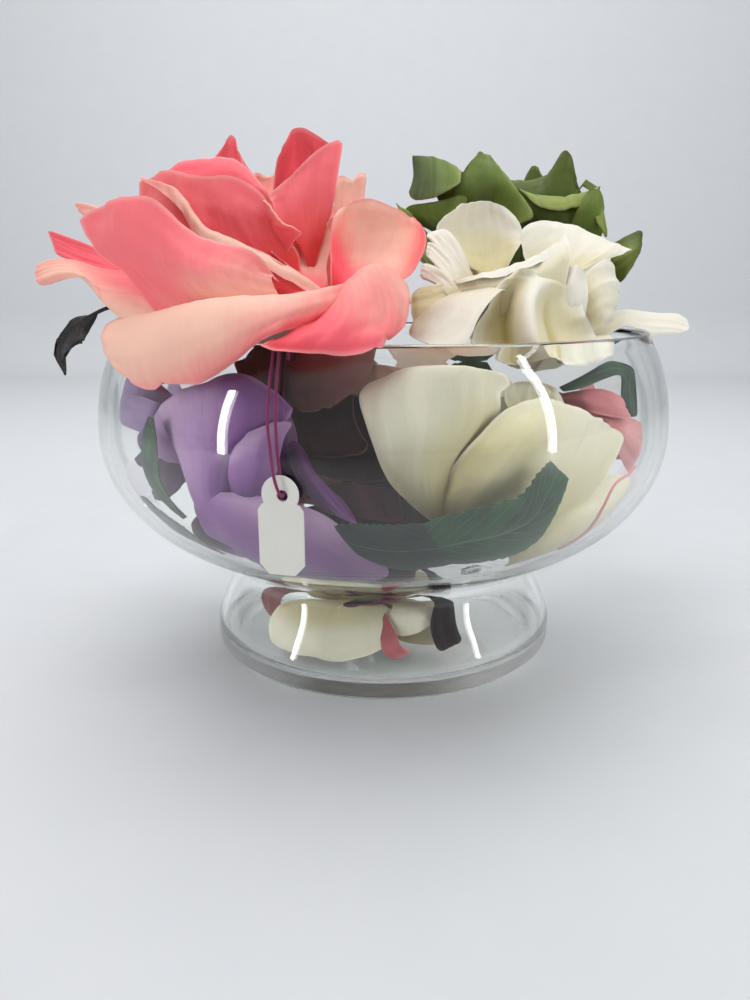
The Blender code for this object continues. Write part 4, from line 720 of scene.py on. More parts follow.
def ivory_rose_front():
    c = (34, -50, 61)
    return [
        Patch(((-0.6, -0.5, -0.9), (0.2, 0.3, -0.6), (0.8, 0.7, -0.2), (1, 1, 0.4), (1, 1, 0.7)),
            ((11, -70, 65), (14, -72, 63), (17, -71, 65)), ((1, -71, 74), (9, -79, 76), (18, -75, 77)),
            ((-6, -68, 86), (5, -83, 90), (16, -80, 92), (29, -70, 91)),
            ((-9, -63, 93), (2, -77, 101), (14, -79, 105), (30, -68, 97)),
            ((-5, -60, 96), (5, -69, 104), (15, -70, 108), (25, -68, 107), (34, -62, 99)),
        ),
        Patch(((-0.5,), (0.3,), (0.8,)),
            ((38, -58, 86), (47, -56, 86), (56, -50, 84)), ((33, -60, 94), (41, -54, 94), (52, -50, 91)),
            ((33, -59, 98), (40, -56, 100), (50, -49, 95)),
        ),
        Patch(((-0.7, -0.4, -0.3), (-0.6, 0.3, 0.2), (-0.5, 0.6, 0.6), (0.5, 0.9, 0.9)),
            ((16, -67, 61), (24, -69, 63), (37, -66, 63), (50, -58, 58)),
            ((16, -74, 74), (27, -80, 77), (43, -70, 76), (64, -50, 70)),
            ((25, -75, 87), (35, -77, 88), (52, -62, 85), (71, -42, 79)),
            ((34, -69, 94), (44, -65, 95), (58, -53, 89), (71, -41, 83)),
        ),
        Patch(((-0.6,), (0.3,), (0.6,), (0.8,)),
            ((34, -60, 53), (38, -62, 48), (40, -60, 43)), ((51, -57, 67), (49, -62, 57), (45, -62, 45)),
            ((69, -42, 69), (66, -51, 58), (61, -54, 45)), ((79, -31, 64), (80, -38, 55), (73, -46, 47)),
        ),
        Petal((c, (37, -52, 80), (42, -49, 89), (46, -46, 94)), (22, 10, 0), cup=0.9),
        Petal((c, (50, -44, 70), (58, -38, 78), (62, -34, 84)), (14, 18, -6), cup=0.8),
    ]


ROSES = [
    Rose("coral_rose", (-30, -28, 100), (-26, -34, 150), (-34, -34, 128), 56, 9, coral_rose(), "coral",
        True),
    Rose("ivory_rose_top", (46, -8, 98), (44, -16, 140), (46, -30, 122), 50, 9, ivory_rose_top(),
        "ivory", True),
    Rose("green_rose", (46, 50, 104), (48, 50, 160), (52, 54, 144), 46, 9, green_rose(), "olive", True),
    Rose("purple_rose", (-36, -54, 62), (-36, -52, 96), (-34, -58, 66), 28, 7, purple_rose(), "purple"),
    Rose("ivory_rose_front", (34, -50, 61), (34, -46, 94), (33, -54, 88), 34, 7, ivory_rose_front(),
        "cream"),
]


# Petals by rows of points that plain roses have besides their two rings; the mauve and burgundy
# petals near the deepest tone are dark sheets of painted shade that fill the shaded middle of the bowl
EXTRA_PETALS = {
    "mauve_rose": [
        Patch(((-1,), (-1,), (-0.7,)),
            ((-30, -34, 96), (-10, -36, 96), (14, -34, 96)),
            ((-34, -38, 85), (-10, -42, 84), (18, -38, 85)),
            ((-28, -36, 74), (-10, -40, 72), (14, -36, 74)),
        ),
        Patch(((-0.6, -0.2, 0.3), (-0.5, 0, 0.4), (-0.7, -0.2, 0.3), (-0.3, 0.1, 0.4)),
            ((-28, -50, 111), (-15, -54, 113), (-2, -50, 115)),
            ((-29, -57, 106), (-17, -63, 107), (-1, -57, 111)),
            ((-27, -60, 99), (-18, -65, 100), (-6, -60, 104)),
            ((-24, -60, 96), (-18, -62, 96), (-13, -60, 99)),
        ),
        Patch(((0.4,), (0.8,), (1,)),
            ((-11, -46, 108), (0, -46, 112), (14, -42, 115)),
            ((-11, -54, 103), (0, -55, 107), (14, -48, 112)),
            ((-11, -55, 99), (-5, -56, 100), (5, -54, 105), (13, -48, 109)),
        ),
        Patch(((-1,), (-0.8,), (-0.9,)),
            ((-41, -54, 112), (-32, -56, 113), (-23, -54, 113)),
            ((-40, -58, 107), (-32, -60, 106), (-24, -56, 105)),
            ((-36, -58, 102), (-30, -60, 100), (-24, -56, 100)),
        ),
        Patch(((-1,), (-0.9,), (-0.5, -0.8, -1)),
            ((-28, -44, 96), (-18, -44, 98), (-9, -40, 98)),
            ((-28, -52, 90), (-18, -54, 91), (-8, -50, 91)),
            ((-24, -56, 83), (-15, -58, 82), (-3, -54, 84)),
        ),
    ],
    "burgundy_rose": [
        Patch(((-1,), (-0.8,), (-0.3,)),
            ((-24, -34, 44), (-4, -38, 42), (18, -36, 42)), ((-28, -38, 54), (-4, -44, 54), (22, -42, 54)),
            ((-22, -36, 63), (-4, -42, 65), (18, -40, 63)),
        ),
        Patch(((-0.8,), (-0.2, 0.3, -0.4), (0.2, 0.5, -0.4)),
            ((-22, -44, 69), (-12, -44, 71), (0, -40, 68)), ((-22, -55, 74), (-11, -57, 76), (2, -52, 73)),
            ((-13, -58, 63), (-6, -60, 62), (6, -55, 59)),
        ),
        Patch(((-1,), (-0.8,), (-0.8,)),
            ((-11, -50, 65), (-3, -50, 66), (8, -46, 63)), ((-8, -56, 56), (2, -58, 58), (12, -54, 56)),
            ((-3, -57, 47), (5, -58, 47), (17, -55, 48)),
        ),
    ],
    "dusty_pink_rose": [
        Patch(((-0.5,), (-0.3,), (0.1,), (0.5,)),
            ((56, -30, 93), (55, -32, 91), (57, -32, 89)), ((63, -30, 94), (61, -34, 92), (62, -34, 88)),
            ((71, -26, 93), (70, -30, 90), (70, -30, 86)), ((77, -22, 90), (78, -24, 87), (80, -24, 84)),
        ),
        Patch(((-0.2,), (0.8,), (0.4,), (0.6,)),
            ((69, -28, 85), (71, -28, 83), (72, -28, 81)), ((77, -22, 85), (76, -26, 81), (73, -28, 78)),
            ((85, -16, 82), (82, -24, 76), (78, -24, 70)), ((91, -10, 78), (89, -16, 71), (82, -20, 65)),
        ),
        Patch(((0.3,), (0.6,), (0.8,)),
            ((85, -14, 79), (90, -10, 78)), ((88, -13, 71), (93, -9, 71)), ((90, -12, 65), (95, -8, 66)),
        ),
    ],
    "lilac_rose": [
        Patch(((-0.3,), (0,), (0.5,)),
            ((-78, -28, 92), (-77, -26, 96), (-78, -24, 100)),
            ((-85, -24, 90), (-84, -22, 95), (-84, -20, 99)),
            ((-91, -19, 92), (-90, -18, 95), (-89, -16, 98)),
        ),
        Patch(((-0.3,), (0.1,), (0.4,), (0.7,)),
            ((-64, -44, 92), (-66, -44, 87), (-70, -42, 83)),
            ((-74, -36, 94), (-75, -38, 89), (-77, -36, 84)),
            ((-84, -27, 93), (-84, -29, 89), (-84, -29, 85)),
            ((-91, -21, 91), (-90, -21, 88), (-89, -21, 86)),
        ),
    ],
    "foot_rose": [
        Patch(((-0.2,), (0, -0.3, 0.3), (0.9, 1, 0.9), (1, 1, 1)),
            ((-28, -30, 25), (-14, -34, 27), (0, -30, 25)), ((-35, -34, 22), (-17, -40, 22), (3, -36, 21)),
            ((-39, -38, 16), (-19, -46, 15), (3, -40, 15)),
            ((-35, -40, 11), (-27, -44, 11), (-12, -47, 10), (-4, -45, 11), (4, -41, 14)),
        ),
        Patch(((0.3,), (0.8,), (1,)),
            ((3, -32, 24), (11, -32, 26), (22, -28, 24)), ((2, -38, 20), (9, -40, 21), (21, -34, 23)),
            ((3, -40, 15), (9, -41, 16), (15, -39, 19), (22, -34, 23)),
        ),
        Patch(((-1,), (-0.8,), (-0.2,)),
            ((-21, -26, 17), (-10, -26, 17), (2, -26, 17)), ((-22, -30, 22), (-10, -30, 22), (4, -30, 22)),
            ((-17, -38, 14), (-8, -40, 14), (2, -38, 15)),
        ),
    ],
}


def plain_rose(name, root, axis, size, first, open_angle, finish, inner=3, outer=4, over_rim=False):
    """Adds a rose whose petals are set evenly round its axis."""
    start = np.array(root, float)
    eye = start + unit(np.array(axis, float)) * size
    middle, heart = (start + eye) / 2, 0.28 * size
    petals = opened_rose(start, axis, size, first, open_angle, inner, outer) + EXTRA_PETALS.get(name, [])
    ROSES.append(Rose(name, start, eye, middle, size, heart, petals, finish, over_rim))


plain_rose("mauve_rose", (-2, -16, 54), (0.0, -0.7, 0.7), 33, -90, 60, "mauve", 3, 3)
plain_rose("burgundy_rose", (-8, -34, 36), (0.0, -0.7, 0.7), 26, 20, 55, "burgundy", 3, 3)
plain_rose("dusty_pink_rose", (62, 2, 68), (0.8, -0.3, 0.3), 27, 10, 62, "dusty_pink", 3, 3)
plain_rose("lilac_rose", (-64, -4, 69), (-0.8, -0.3, 0.3), 25, 60, 60, "lilac", 3, 3)
plain_rose("foot_rose", (-8, -14, 21), (0.0, -1.0, -0.05), 28, -60, 64, "cream", 2, 3)
plain_rose("lilac_rose_back", (-24, 36, 96), (-0.2, 0.3, 0.95), 38, 70, 56, "lilac", 4, 5, True)
plain_rose("peach_rose_back", (22, 52, 63), (0.3, 0.9, 0.25), 34, 20, 62, "peach")
plain_rose("purple_rose_back", (-34, 30, 59), (-0.6, 0.7, 0.1), 31, -20, 60, "purple")

# Leaves along the glass, by rows of bearing in degrees and height, each row from edge to edge
LEAVES = {
    "leaf_front": (
        ((6.2, 66.0), (8.6, 61.0), (11.2, 56.5), (13.6, 52.2)),
        ((11.0, 68.6), (13.4, 62.5), (16.2, 57.0), (19.2, 51.8)),
        ((16.5, 70.6), (19.5, 64.5), (22.6, 58.5), (25.6, 52.4)),
        ((21.5, 72.3), (24.0, 67.0), (26.6, 61.5), (28.9, 56.0)),
        ((24.8, 77.6), (26.8, 73.3), (28.7, 69.4), (30.4, 65.6)),
        ((27.2, 80.4), (28.8, 78.4), (30.2, 76.6), (31.4, 74.8)),
    ),
    "leaf_front_dark": (
        ((4.9, 65.4), (7.2, 60.3), (9.9, 55.6), (12.2, 51.6)),
        ((0.6, 66.3), (2.4, 60.8), (4.6, 55.3), (6.6, 50.0)),
        ((-4.0, 66.5), (-2.4, 61.5), (-0.6, 56.3), (1.2, 51.5)),
        ((-8.0, 65.6), (-7.0, 62.5), (-5.8, 59.5), (-4.4, 56.5)),
    ),
    "leaf_left": leaf_rows(((-43, 89), (-43.5, 79), (-43, 71), (-38.5, 62)), 8),
    "leaf_left_dark": leaf_rows(((-38, 49), (-45, 55), (-53, 64)), 13),
    "leaf_back": leaf_rows(((148, 90), (164, 76), (180, 62)), 22),
    "leaf_back_right": leaf_rows(((112, 58), (122, 70), (134, 84)), 20),
    "leaf_back_left": leaf_rows(((-120, 60), (-110, 72), (-100, 88)), 20),
}

# The thread as bearing in degrees, radius and height: from under the coral rose, through the tag and back
THREAD_PATH = [
    (-18.0, 83.0, 105.0), (-17.9, 84.0, 108.9), (-17.6, 86.6, 110.4), (-17.3, 89.1, 109.1),
    (-17.1, 90.6, 105.6), (-17.0, 92.9, 101.0), (-16.8, 95.6, 92.0), (-16.2, 96.6, 84.0),
    (-15.5, 98.3, 79.8), (-15.0, 98.5, 76.6), (-14.6, 97.9, 74.5), (-14.5, 96.7, 74.1),
    (-14.6, 95.7, 74.8), (-14.9, 95.6, 77.4), (-15.3, 95.7, 82.0), (-15.6, 95.4, 92.0),
    (-15.9, 92.9, 101.0), (-16.1, 90.6, 105.6), (-16.3, 89.1, 109.1), (-16.4, 86.6, 110.4),
    (-16.4, 84.0, 108.9), (-16.3, 83.0, 105.0),
]

# How far each rose has settled onto what it rests on, in millimetres
SETTLED = {
    "foot_rose": 1.2, "purple_rose_back": 0.8, "peach_rose_back": 1.7, "burgundy_rose": 2.8,
    "purple_rose": 1.5, "ivory_rose_front": 1.4, "dusty_pink_rose": 1.8, "lilac_rose": 3.1,
    "mauve_rose": 6.3, "lilac_rose_back": 0.5, "ivory_rose_top": 1.8, "green_rose": 0.3,
}

# How far from the bowl's axis a bound with this rose holds for the roses over the rim,
# where that isn't the usual distance
HELD_TO = {"mauve_rose": 62.0}

# Flat bounds that are given one by one: a point of each, and its normal from the first rose to the second
BOUNDS = {
    ("coral_rose", "ivory_rose_top"): ((11, -40, 131), (1, 0.35, -0.45)),
    ("coral_rose", "ivory_rose_front"): ((4, -70, 108.5), (0.5, 0, -0.87)),
    ("coral_rose", "mauve_rose"): ((-23, -32, 99.5), (0.05, -0.55, -1)),
    ("coral_rose", "purple_rose"): ((-36, -60, 103), (0, -0.2, -1)),
    ("coral_rose", "lilac_rose"): ((-66, -40, 101), (-0.35, 0, -0.94)),
    ("ivory_rose_top", "ivory_rose_front"): ((40, -50, 100.5), (0, -0.25, -0.97)),
    ("ivory_rose_top", "dusty_pink_rose"): ((66, -26, 103.5), (0.4, 0.1, -0.9)),
    ("ivory_rose_front", "dusty_pink_rose"): ((74, -32, 72), (0.35, 0.75, 0.5)),
    ("mauve_rose", "ivory_rose_top"): ((12, -50, 107), (0.3, 0, 0.95)),
    ("mauve_rose", "ivory_rose_front"): ((4, -58.5, 97), (0.38, -0.92, 0.1)),
    ("mauve_rose", "purple_rose"): ((-25, -60, 88), (-0.05, -1, -0.2)),
    ("mauve_rose", "burgundy_rose"): ((-6, -32, 59), (0, -0.5, -0.87)),
    ("burgundy_rose", "purple_rose"): ((-10, -62, 60), (-0.2, -0.97, -0.05)),
    ("burgundy_rose", "ivory_rose_front"): ((12, -62, 60), (0.5, -0.8, 0.35)),
}


class Nodes:
    """A short way to write a material's nodes."""

    def __init__(self, name):
        self.material = bpy.data.materials.new(name)
        self.material.use_nodes = True
        self.tree = self.material.node_tree
        self.shader = self.tree.nodes["Principled BSDF"]

    def add(self, kind, inputs=None, **settings):
        node = self.tree.nodes.new(kind)
        for key, value in settings.items():
            setattr(node, key, value)
        for key, value in (inputs or {}).items():
            self.plug(node.inputs[key], value)
        return node

    def plug(self, socket, value):
        if isinstance(value, bpy.types.NodeSocket):
            self.tree.links.new(value, socket)
        elif isinstance(value, tuple) and len(value) == 3 and socket.type == "RGBA":
            socket.default_value = (*value, 1)
        else:
            socket.default_value = value

    def math(self, operation, first, second=0.5, clamp=False):
        node = self.add("ShaderNodeMath", operation=operation, use_clamp=clamp)
        self.plug(node.inputs[0], first)
        self.plug(node.inputs[1], second)
        return node.outputs[0]

    def blend(self, factor, first, second, how="MIX"):
        node = self.add("ShaderNodeMix", data_type="RGBA", blend_type=how)
        self.plug(node.inputs["Factor"], factor)
        self.plug(node.inputs["A"], first)
        self.plug(node.inputs["B"], second)
        return node.outputs["Result"]

    def noise(self, vector, scale, detail=3.0, roughness=0.55):
        node = self.add("ShaderNodeTexNoise", {"Scale": scale, "Detail": detail, "Roughness": roughness})
        self.plug(node.inputs["Vector"], vector)
        return node.outputs["Fac"]

    def range(self, value, low, high, to_low=0.0, to_high=1.0):
        node = self.add(
            "ShaderNodeMapRange", {"From Min": low, "From Max": high}, interpolation_type="SMOOTHSTEP"
        )
        self.plug(node.inputs["Value"], value)
        self.plug(node.inputs["To Min"], to_low)
        self.plug(node.inputs["To Max"], to_high)
        return node.outputs["Result"]

    def set(self, **values):
        for key, value in values.items():
            self.plug(self.shader.inputs[key.replace("_", " ")], value)


def petal_material(name, deep, main, pale, edge, vein=0.5, light_through=0.12):
    """Cloth of a petal, with its fan of veins pressed into it, and its dye mixed with painted shade and
    painted highlight.
    """
    n = Nodes(name)
    place = n.add("ShaderNodeUVMap", uv_map="petal").outputs[0]
    apart = n.add("ShaderNodeSeparateXYZ", {"Vector": place})
    across, along = apart.outputs["X"], apart.outputs["Y"]
    tone = n.add("ShaderNodeAttribute", attribute_name="tone").outputs["Fac"]
    object_place = n.add("ShaderNodeTexCoord").outputs["Object"]
    mottle = n.noise(object_place, 60.0, 4.0)
    fan = n.add(
        "ShaderNodeCombineXYZ",
        {"X": n.math("MULTIPLY", across, 48.0), "Y": n.math("MULTIPLY", along, 2.6)},
    )
    n.plug(fan.inputs["Z"], mottle)
    veins = n.noise(fan.outputs[0], 1.0, 5.0, 0.6)
    streak = n.math("MULTIPLY", n.math("SUBTRACT", veins, 0.5), 0.3)
    cloud = n.math("MULTIPLY", n.math("SUBTRACT", mottle, 0.5), 0.5)
    # The tone attribute with the noise gives the cloth's dye together with painted shade and painted
    # highlight.
    dye_and_shade = n.math("ADD", tone, n.math("ADD", streak, cloud))
    colour = n.blend(n.range(dye_and_shade, -1.0, 0.0), deep, main)
    colour = n.blend(n.range(dye_and_shade, 0.0, 1.0), colour, pale)
    # Toward the rims the colour goes to the edge colour: partly the cloth's own edge colour, partly a
    # painted highlight where rolled rims catch the light.
    away = n.math("ABSOLUTE", n.math("SUBTRACT", across, 0.5))
    rim = n.math("MAXIMUM", n.range(away, 0.47, 0.5), n.range(along, 0.96, 1.0))
    colour = n.blend(n.math("MULTIPLY", rim, 0.7), colour, edge)
    bump = n.add("ShaderNodeBump", {"Strength": 0.35 * vein, "Distance": 0.0006})
    n.plug(bump.inputs["Height"], veins)
    cloth = n.noise(object_place, 1800.0, 2.0)
    weave = n.add("ShaderNodeBump", {"Strength": 0.12, "Distance": 0.0002, "Normal": bump.outputs[0]})
    n.plug(weave.inputs["Height"], cloth)
    crease = n.add("ShaderNodeBump", {"Strength": 0.35, "Distance": 0.0016, "Normal": weave.outputs[0]})
    n.plug(crease.inputs["Height"], n.noise(object_place, 95.0, 3.0))
    n.set(Base_Color=colour, Normal=crease.outputs[0], Roughness=n.range(mottle, 0.2, 0.8, 0.50, 0.68))
    n.set(Subsurface_Weight=light_through, Subsurface_Radius=(0.002, 0.0012, 0.001), Subsurface_Scale=1.0)
    n.set(Sheen_Weight=0.15 * max(main) ** 0.5, Sheen_Roughness=0.4, Specular_IOR_Level=0.35)
    return n.material


def leaf_material(name, deep, main, light):
    """A cloth leaf: a pale midrib, side veins and a slightly waxy face."""
    n = Nodes(name)
    place = n.add("ShaderNodeUVMap", uv_map="petal").outputs[0]
    apart = n.add("ShaderNodeSeparateXYZ", {"Vector": place})
    across, along = apart.outputs["X"], apart.outputs["Y"]
    object_place = n.add("ShaderNodeTexCoord").outputs["Object"]
    away = n.math("ABSOLUTE", n.math("SUBTRACT", across, 0.5))
    slanted = n.math("SUBTRACT", n.math("MULTIPLY", along, 9.0), n.math("MULTIPLY", away, 7.0))
    stripe = n.math("ABSOLUTE", n.math("SUBTRACT", n.math("FRACT", slanted, 0.0), 0.5))
    veins = n.math("MAXIMUM", n.range(away, 0.028, 0.004), n.range(stripe, 0.07, 0.01, 0.0, 0.6))
    mottle = n.noise(object_place, 120.0, 4.0)
    colour = n.blend(n.range(mottle, 0.3, 0.7), deep, main)
    colour = n.blend(n.math("MULTIPLY", veins, 0.55), colour, light)
    bump = n.add("ShaderNodeBump", {"Strength": 0.5, "Distance": 0.0005})
    cloth = n.math("MULTIPLY", n.noise(object_place, 700.0), 0.5)
    n.plug(bump.inputs["Height"], n.math("ADD", veins, cloth))
    n.set(Base_Color=colour, Normal=bump.outputs[0], Roughness=n.range(mottle, 0.2, 0.8, 0.38, 0.6))
    n.set(Subsurface_Weight=0.12, Subsurface_Radius=(0.001, 0.002, 0.001), Subsurface_Scale=1.0)
    return n.material


def glass_material(name, roughness):
    """Glass that lets the lamps' light through to what lies behind it."""
    n = Nodes(name)
    n.set(Base_Color=linear(254, 255, 254), Roughness=roughness, IOR=1.45, Transmission_Weight=1.0)
    clear = n.add("ShaderNodeBsdfTransparent", {"Color": linear(252, 254, 253)})
    lamps = n.add("ShaderNodeLightPath").outputs["Is Shadow Ray"]
    mix = n.add("ShaderNodeMixShader", {"Fac": lamps})
    n.tree.links.new(n.shader.outputs[0], mix.inputs[1])
    n.tree.links.new(clear.outputs[0], mix.inputs[2])
    n.tree.links.new(mix.outputs[0], n.tree.nodes["Material Output"].inputs["Surface"])
    return n.material


def card_material():
    """Coated white card with faint fibres."""
    n = Nodes("white_card_look")
    object_place = n.add("ShaderNodeTexCoord").outputs["Object"]
    fibres = n.noise(object_place, 900.0, 5.0)
    cloud = n.noise(object_place, 120.0, 3.0)
    colour = n.blend(cloud, linear(226, 224, 216), linear(236, 235, 229))
    bump = n.add("ShaderNodeBump", {"Strength": 0.15, "Distance": 0.0002})
    n.plug(bump.inputs["Height"], fibres)
    n.set(Base_Color=colour, Normal=bump.outputs[0], Roughness=n.range(fibres, 0.3, 0.7, 0.35, 0.5))
    return n.material


def thread_material():
    """Magenta thread, twisted from two strands."""
    n = Nodes("magenta_thread_look")
    object_place = n.add("ShaderNodeTexCoord").outputs["Object"]
    twist = n.add(
        "ShaderNodeTexWave",
        {"Scale": 900.0, "Distortion": 1.5, "Vector": object_place},
        bands_direction="DIAGONAL",
    )
    colour = n.blend(twist.outputs["Fac"], linear(104, 24, 66), linear(158, 48, 104))
    bump = n.add("ShaderNodeBump", {"Strength": 0.6, "Distance": 0.0002})
    n.plug(bump.inputs["Height"], twist.outputs["Fac"])
    n.set(Base_Color=colour, Normal=bump.outputs[0], Roughness=0.75, Sheen_Weight=0.2)
    return n.material


def wire_material():
    """Bright silver wire with fine scratches."""
    n = Nodes("silver_wire_look")
    object_place = n.add("ShaderNodeTexCoord").outputs["Object"]
    worn = n.noise(object_place, 1500.0, 3.0)
    colour = n.blend(worn, linear(196, 196, 200), linear(232, 232, 236))
    n.set(Base_Color=colour, Metallic=1.0, Roughness=n.range(worn, 0.3, 0.7, 0.16, 0.32))
    return n.material


# Deep, main, pale and edge colours of each rose's cloth, from 0 to 255, for its inner and its outer faces;
# the deep colours partly paint shade, and the pale and edge colours partly paint highlight
CLOTH = {
    "coral": (
        ((222, 24, 40), (255, 98, 112), (252, 198, 176), (255, 158, 160)),
        ((236, 82, 80), (255, 116, 124), (250, 196, 176), (255, 164, 164)),
    ),
    "ivory": (
        ((190, 172, 98), (232, 222, 184), (243, 238, 222), (247, 243, 232)),
        ((196, 180, 116), (232, 224, 192), (243, 238, 224), (247, 243, 232)),
    ),
    # The ivory cloth darkened and yellowed as painted shade, for the roses that lie in shadow under the
    # others
    "cream": (
        ((164, 140, 76), (198, 188, 148), (218, 211, 190), (226, 220, 200)),
        ((172, 152, 94), (200, 192, 154), (218, 212, 192), (226, 220, 200)),
    ),
    "peach": (
        ((214, 150, 120), (236, 202, 174), (244, 228, 208), (242, 214, 190)),
        ((218, 160, 130), (238, 206, 180), (244, 230, 212), (243, 218, 196)),
    ),
    "olive": (
        ((34, 42, 10), (84, 102, 30), (150, 164, 82), (86, 66, 36)),
        ((56, 70, 22), (100, 122, 44), (158, 174, 94), (92, 74, 40)),
    ),
    "purple": (
        ((60, 14, 80), (120, 68, 136), (172, 138, 176), (158, 112, 168)),
        ((74, 30, 98), (128, 80, 144), (178, 148, 182), (164, 124, 174)),
    ),
    "mauve": (
        ((46, 8, 20), (112, 64, 64), (172, 132, 116), (142, 92, 88)),
        ((50, 12, 24), (118, 72, 70), (176, 138, 120), (146, 98, 92)),
    ),
    "burgundy": (
        ((20, 2, 8), (62, 8, 28), (118, 38, 64), (108, 28, 56)),
        ((24, 3, 10), (68, 11, 32), (122, 44, 68), (112, 32, 58)),
    ),
    "dusty_pink": (
        ((140, 52, 62), (182, 98, 104), (214, 150, 152), (204, 132, 136)),
        ((150, 66, 74), (190, 112, 116), (218, 158, 158), (208, 140, 142)),
    ),
    "lilac": (
        ((84, 60, 108), (130, 106, 148), (176, 156, 186), (158, 132, 170)),
        ((98, 76, 122), (140, 118, 156), (182, 164, 190), (164, 140, 174)),
    ),
}

# Cloths that take the slot of another cloth; the shaded ivory is the ivory cloth with painted shade
SLOT_CLOTH = {"cream": "ivory", "peach": "coral"}

# How far a leaf's stalk slips in behind the next leaf, in degrees
TUCKED = {"leaf_front_dark": 3.5}


def blades_object(name, blades, thickness, materials):
    """One piece of many thin blades that taper to their rims.

    Each blade is a grid of points and a grid of tones.
    """
    points, faces, places, tones, looks = [], [], [], [], []
    start = 0
    for grid, shades in blades:
        rows, columns = grid.shape[:2]
        u, v = np.meshgrid(np.linspace(0, 1, columns), np.linspace(0, 1, rows))
        normal = unit(np.cross(np.gradient(grid, axis=1), np.gradient(grid, axis=0)))
        from_rim = np.minimum(np.minimum(u, 1 - u) * columns / 3, (1 - v) * rows / 3)
        half = thickness * (0.22 + 0.28 * np.clip(from_rim, 0, 1))[:, :, None] * normal
        top = start + np.arange(rows * columns).reshape(rows, columns)
        inner = np.stack([top[:-1, :-1], top[:-1, 1:], top[1:, 1:], top[1:, :-1]], -1).reshape(-1, 4)
        ring = np.concatenate([top[0, :-1], top[:-1, -1], top[-1, :0:-1], top[:0:-1, 0]])
        after = np.roll(ring, -1)
        rim = np.stack([ring, ring + rows * columns, after + rows * columns, after], -1)
        points += [(grid + half).reshape(-1, 3), (grid - half).reshape(-1, 3)]
        faces += [inner, inner[:, ::-1] + rows * columns, rim]
        looks += [np.zeros(len(inner)), np.full(len(inner), len(materials) - 1), np.zeros(len(rim))]
        places += [np.stack([u, v], -1).reshape(-1, 2)] * 2
        tones += [shades.reshape(-1)] * 2
        start += 2 * rows * columns
    points, faces = np.concatenate(points) * MM, np.concatenate(faces)
    mesh = bpy.data.meshes.new(name)
    mesh.from_pydata(points.tolist(), [], faces.tolist())
    for material in materials:
        mesh.materials.append(material)
    mesh.polygons.foreach_set("material_index", np.concatenate(looks).astype(int))
    uv = mesh.uv_layers.new(name="petal")
    uv.data.foreach_set("uv", np.concatenate(places)[faces.reshape(-1)].reshape(-1))
    attribute = mesh.attributes.new("tone", "FLOAT", "POINT")
    attribute.data.foreach_set("value", np.concatenate(tones))
    mesh.shade_smooth()
    mesh.set_sharp_from_angle(angle=math.radians(55))
    made = new_object(name, mesh)
    return made


def ruffled(grid, amount, rng):
    """The grid with its margin waved, fine creases along it and its rim turned back a little."""
    rows, columns = grid.shape[:2]
    u, v = np.meshgrid(np.linspace(-1, 1, columns), np.linspace(0, 1, rows))
    edge, phase = np.abs(u), rng.uniform(0, 2 * math.pi, 5)
    normal = unit(np.cross(np.gradient(grid, axis=1), np.gradient(grid, axis=0)))
    width = np.linalg.norm(np.diff(grid, axis=1), axis=-1).sum(axis=1).max()
    wave = np.sin(6.0 * u + 3.0 * v + phase[0]) + 0.7 * np.sin(11.0 * u - 6.0 * v + phase[1])
    wave = wave + 0.5 * np.sin(17.0 * v + 5.0 * u * edge + phase[2])
    wave = wave + 0.25 * np.sin(29.0 * u + 9.0 * v + phase[3])
    wave = wave + 0.25 * np.sin(37.0 * v - 7.0 * u + phase[4])
    margin = (0.1 + 0.9 * np.maximum(edge**4, v**4)) * smooth_step(v, 0.15, 0.6)
    curl = smooth_step(np.maximum(edge, v), 0.9, 1.0) * smooth_step(v, 0.3, 0.7)
    seed = phase[0] * 40
    spots = np.stack([u * width / 9 + seed, v * 1.1 + seed / 3, 0 * u], -1).reshape(-1, 3)
    crease = np.array([noise.noise(Vector(spot)) + 0.5 * noise.noise(Vector(spot) * 2.3) for spot in spots])
    crease = crease.reshape(rows, columns) * smooth_step(v, 0.1, 0.5)
    lift = 0.009 * width * amount * wave * margin + 0.55 * crease - 0.45 * curl
    return grid + lift[:, :, None] * normal


def spread(tones, rows, columns):
    """A few rows of tones, each of one or more, spread evenly over the grid."""
    lines = [np.interp(np.linspace(0, 1, columns), np.linspace(0, 1, len(row)), row) for row in tones]
    lines = np.array([lines[0], *lines])
    steps = np.concatenate([[0], np.linspace(0.12, 1, len(tones))])
    return np.stack([np.interp(np.linspace(0, 1, rows), steps, line) for line in lines.T], 1)


def petal_blade(petal, rose, rng):
    """The petal's grid of points in the bowl, its face toward the rose's eye, and its grid of tones."""
    rows, columns = petal.grid
    u, v = np.meshgrid(np.linspace(-1, 1, columns), petal.steps())
    grid = petal.surface(u.reshape(-1), v.reshape(-1), rose.eye).reshape(rows, columns, 3)
    shades = spread(petal.tones, rows, columns)
    middle = grid[rows // 2, columns // 2]
    across, along = grid[rows // 2, -1] - grid[rows // 2, 0], grid[-1, columns // 2] - grid[0, columns // 2]
    if np.dot(np.cross(across, along), rose.eye - middle) < 0:
        grid, shades = grid[:, ::-1], shades[:, ::-1]
    grid = ruffled(grid, petal.ruffle, rng)
    return rose.placed(grid.reshape(-1, 3)).reshape(rows, columns, 3), shades


def dress(piece, slot, *nodes):
    """The piece rides with the object and stands for these nodes; slot is not used."""
    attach(piece, "root")
    if nodes:
        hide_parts(*nodes)
    return piece


def make_rose(rose, looks):
    rng = np.random.default_rng(sum(map(ord, rose.name)))
    blades = [petal_blade(petal, rose, rng) for petal in rose.petals]
    made = blades_object(rose.name + "_petals", blades, PETAL_THICKNESS, looks[rose.finish])
    return dress(made, SLOT_CLOTH.get(rose.finish, rose.finish) + "_silk", rose.name)


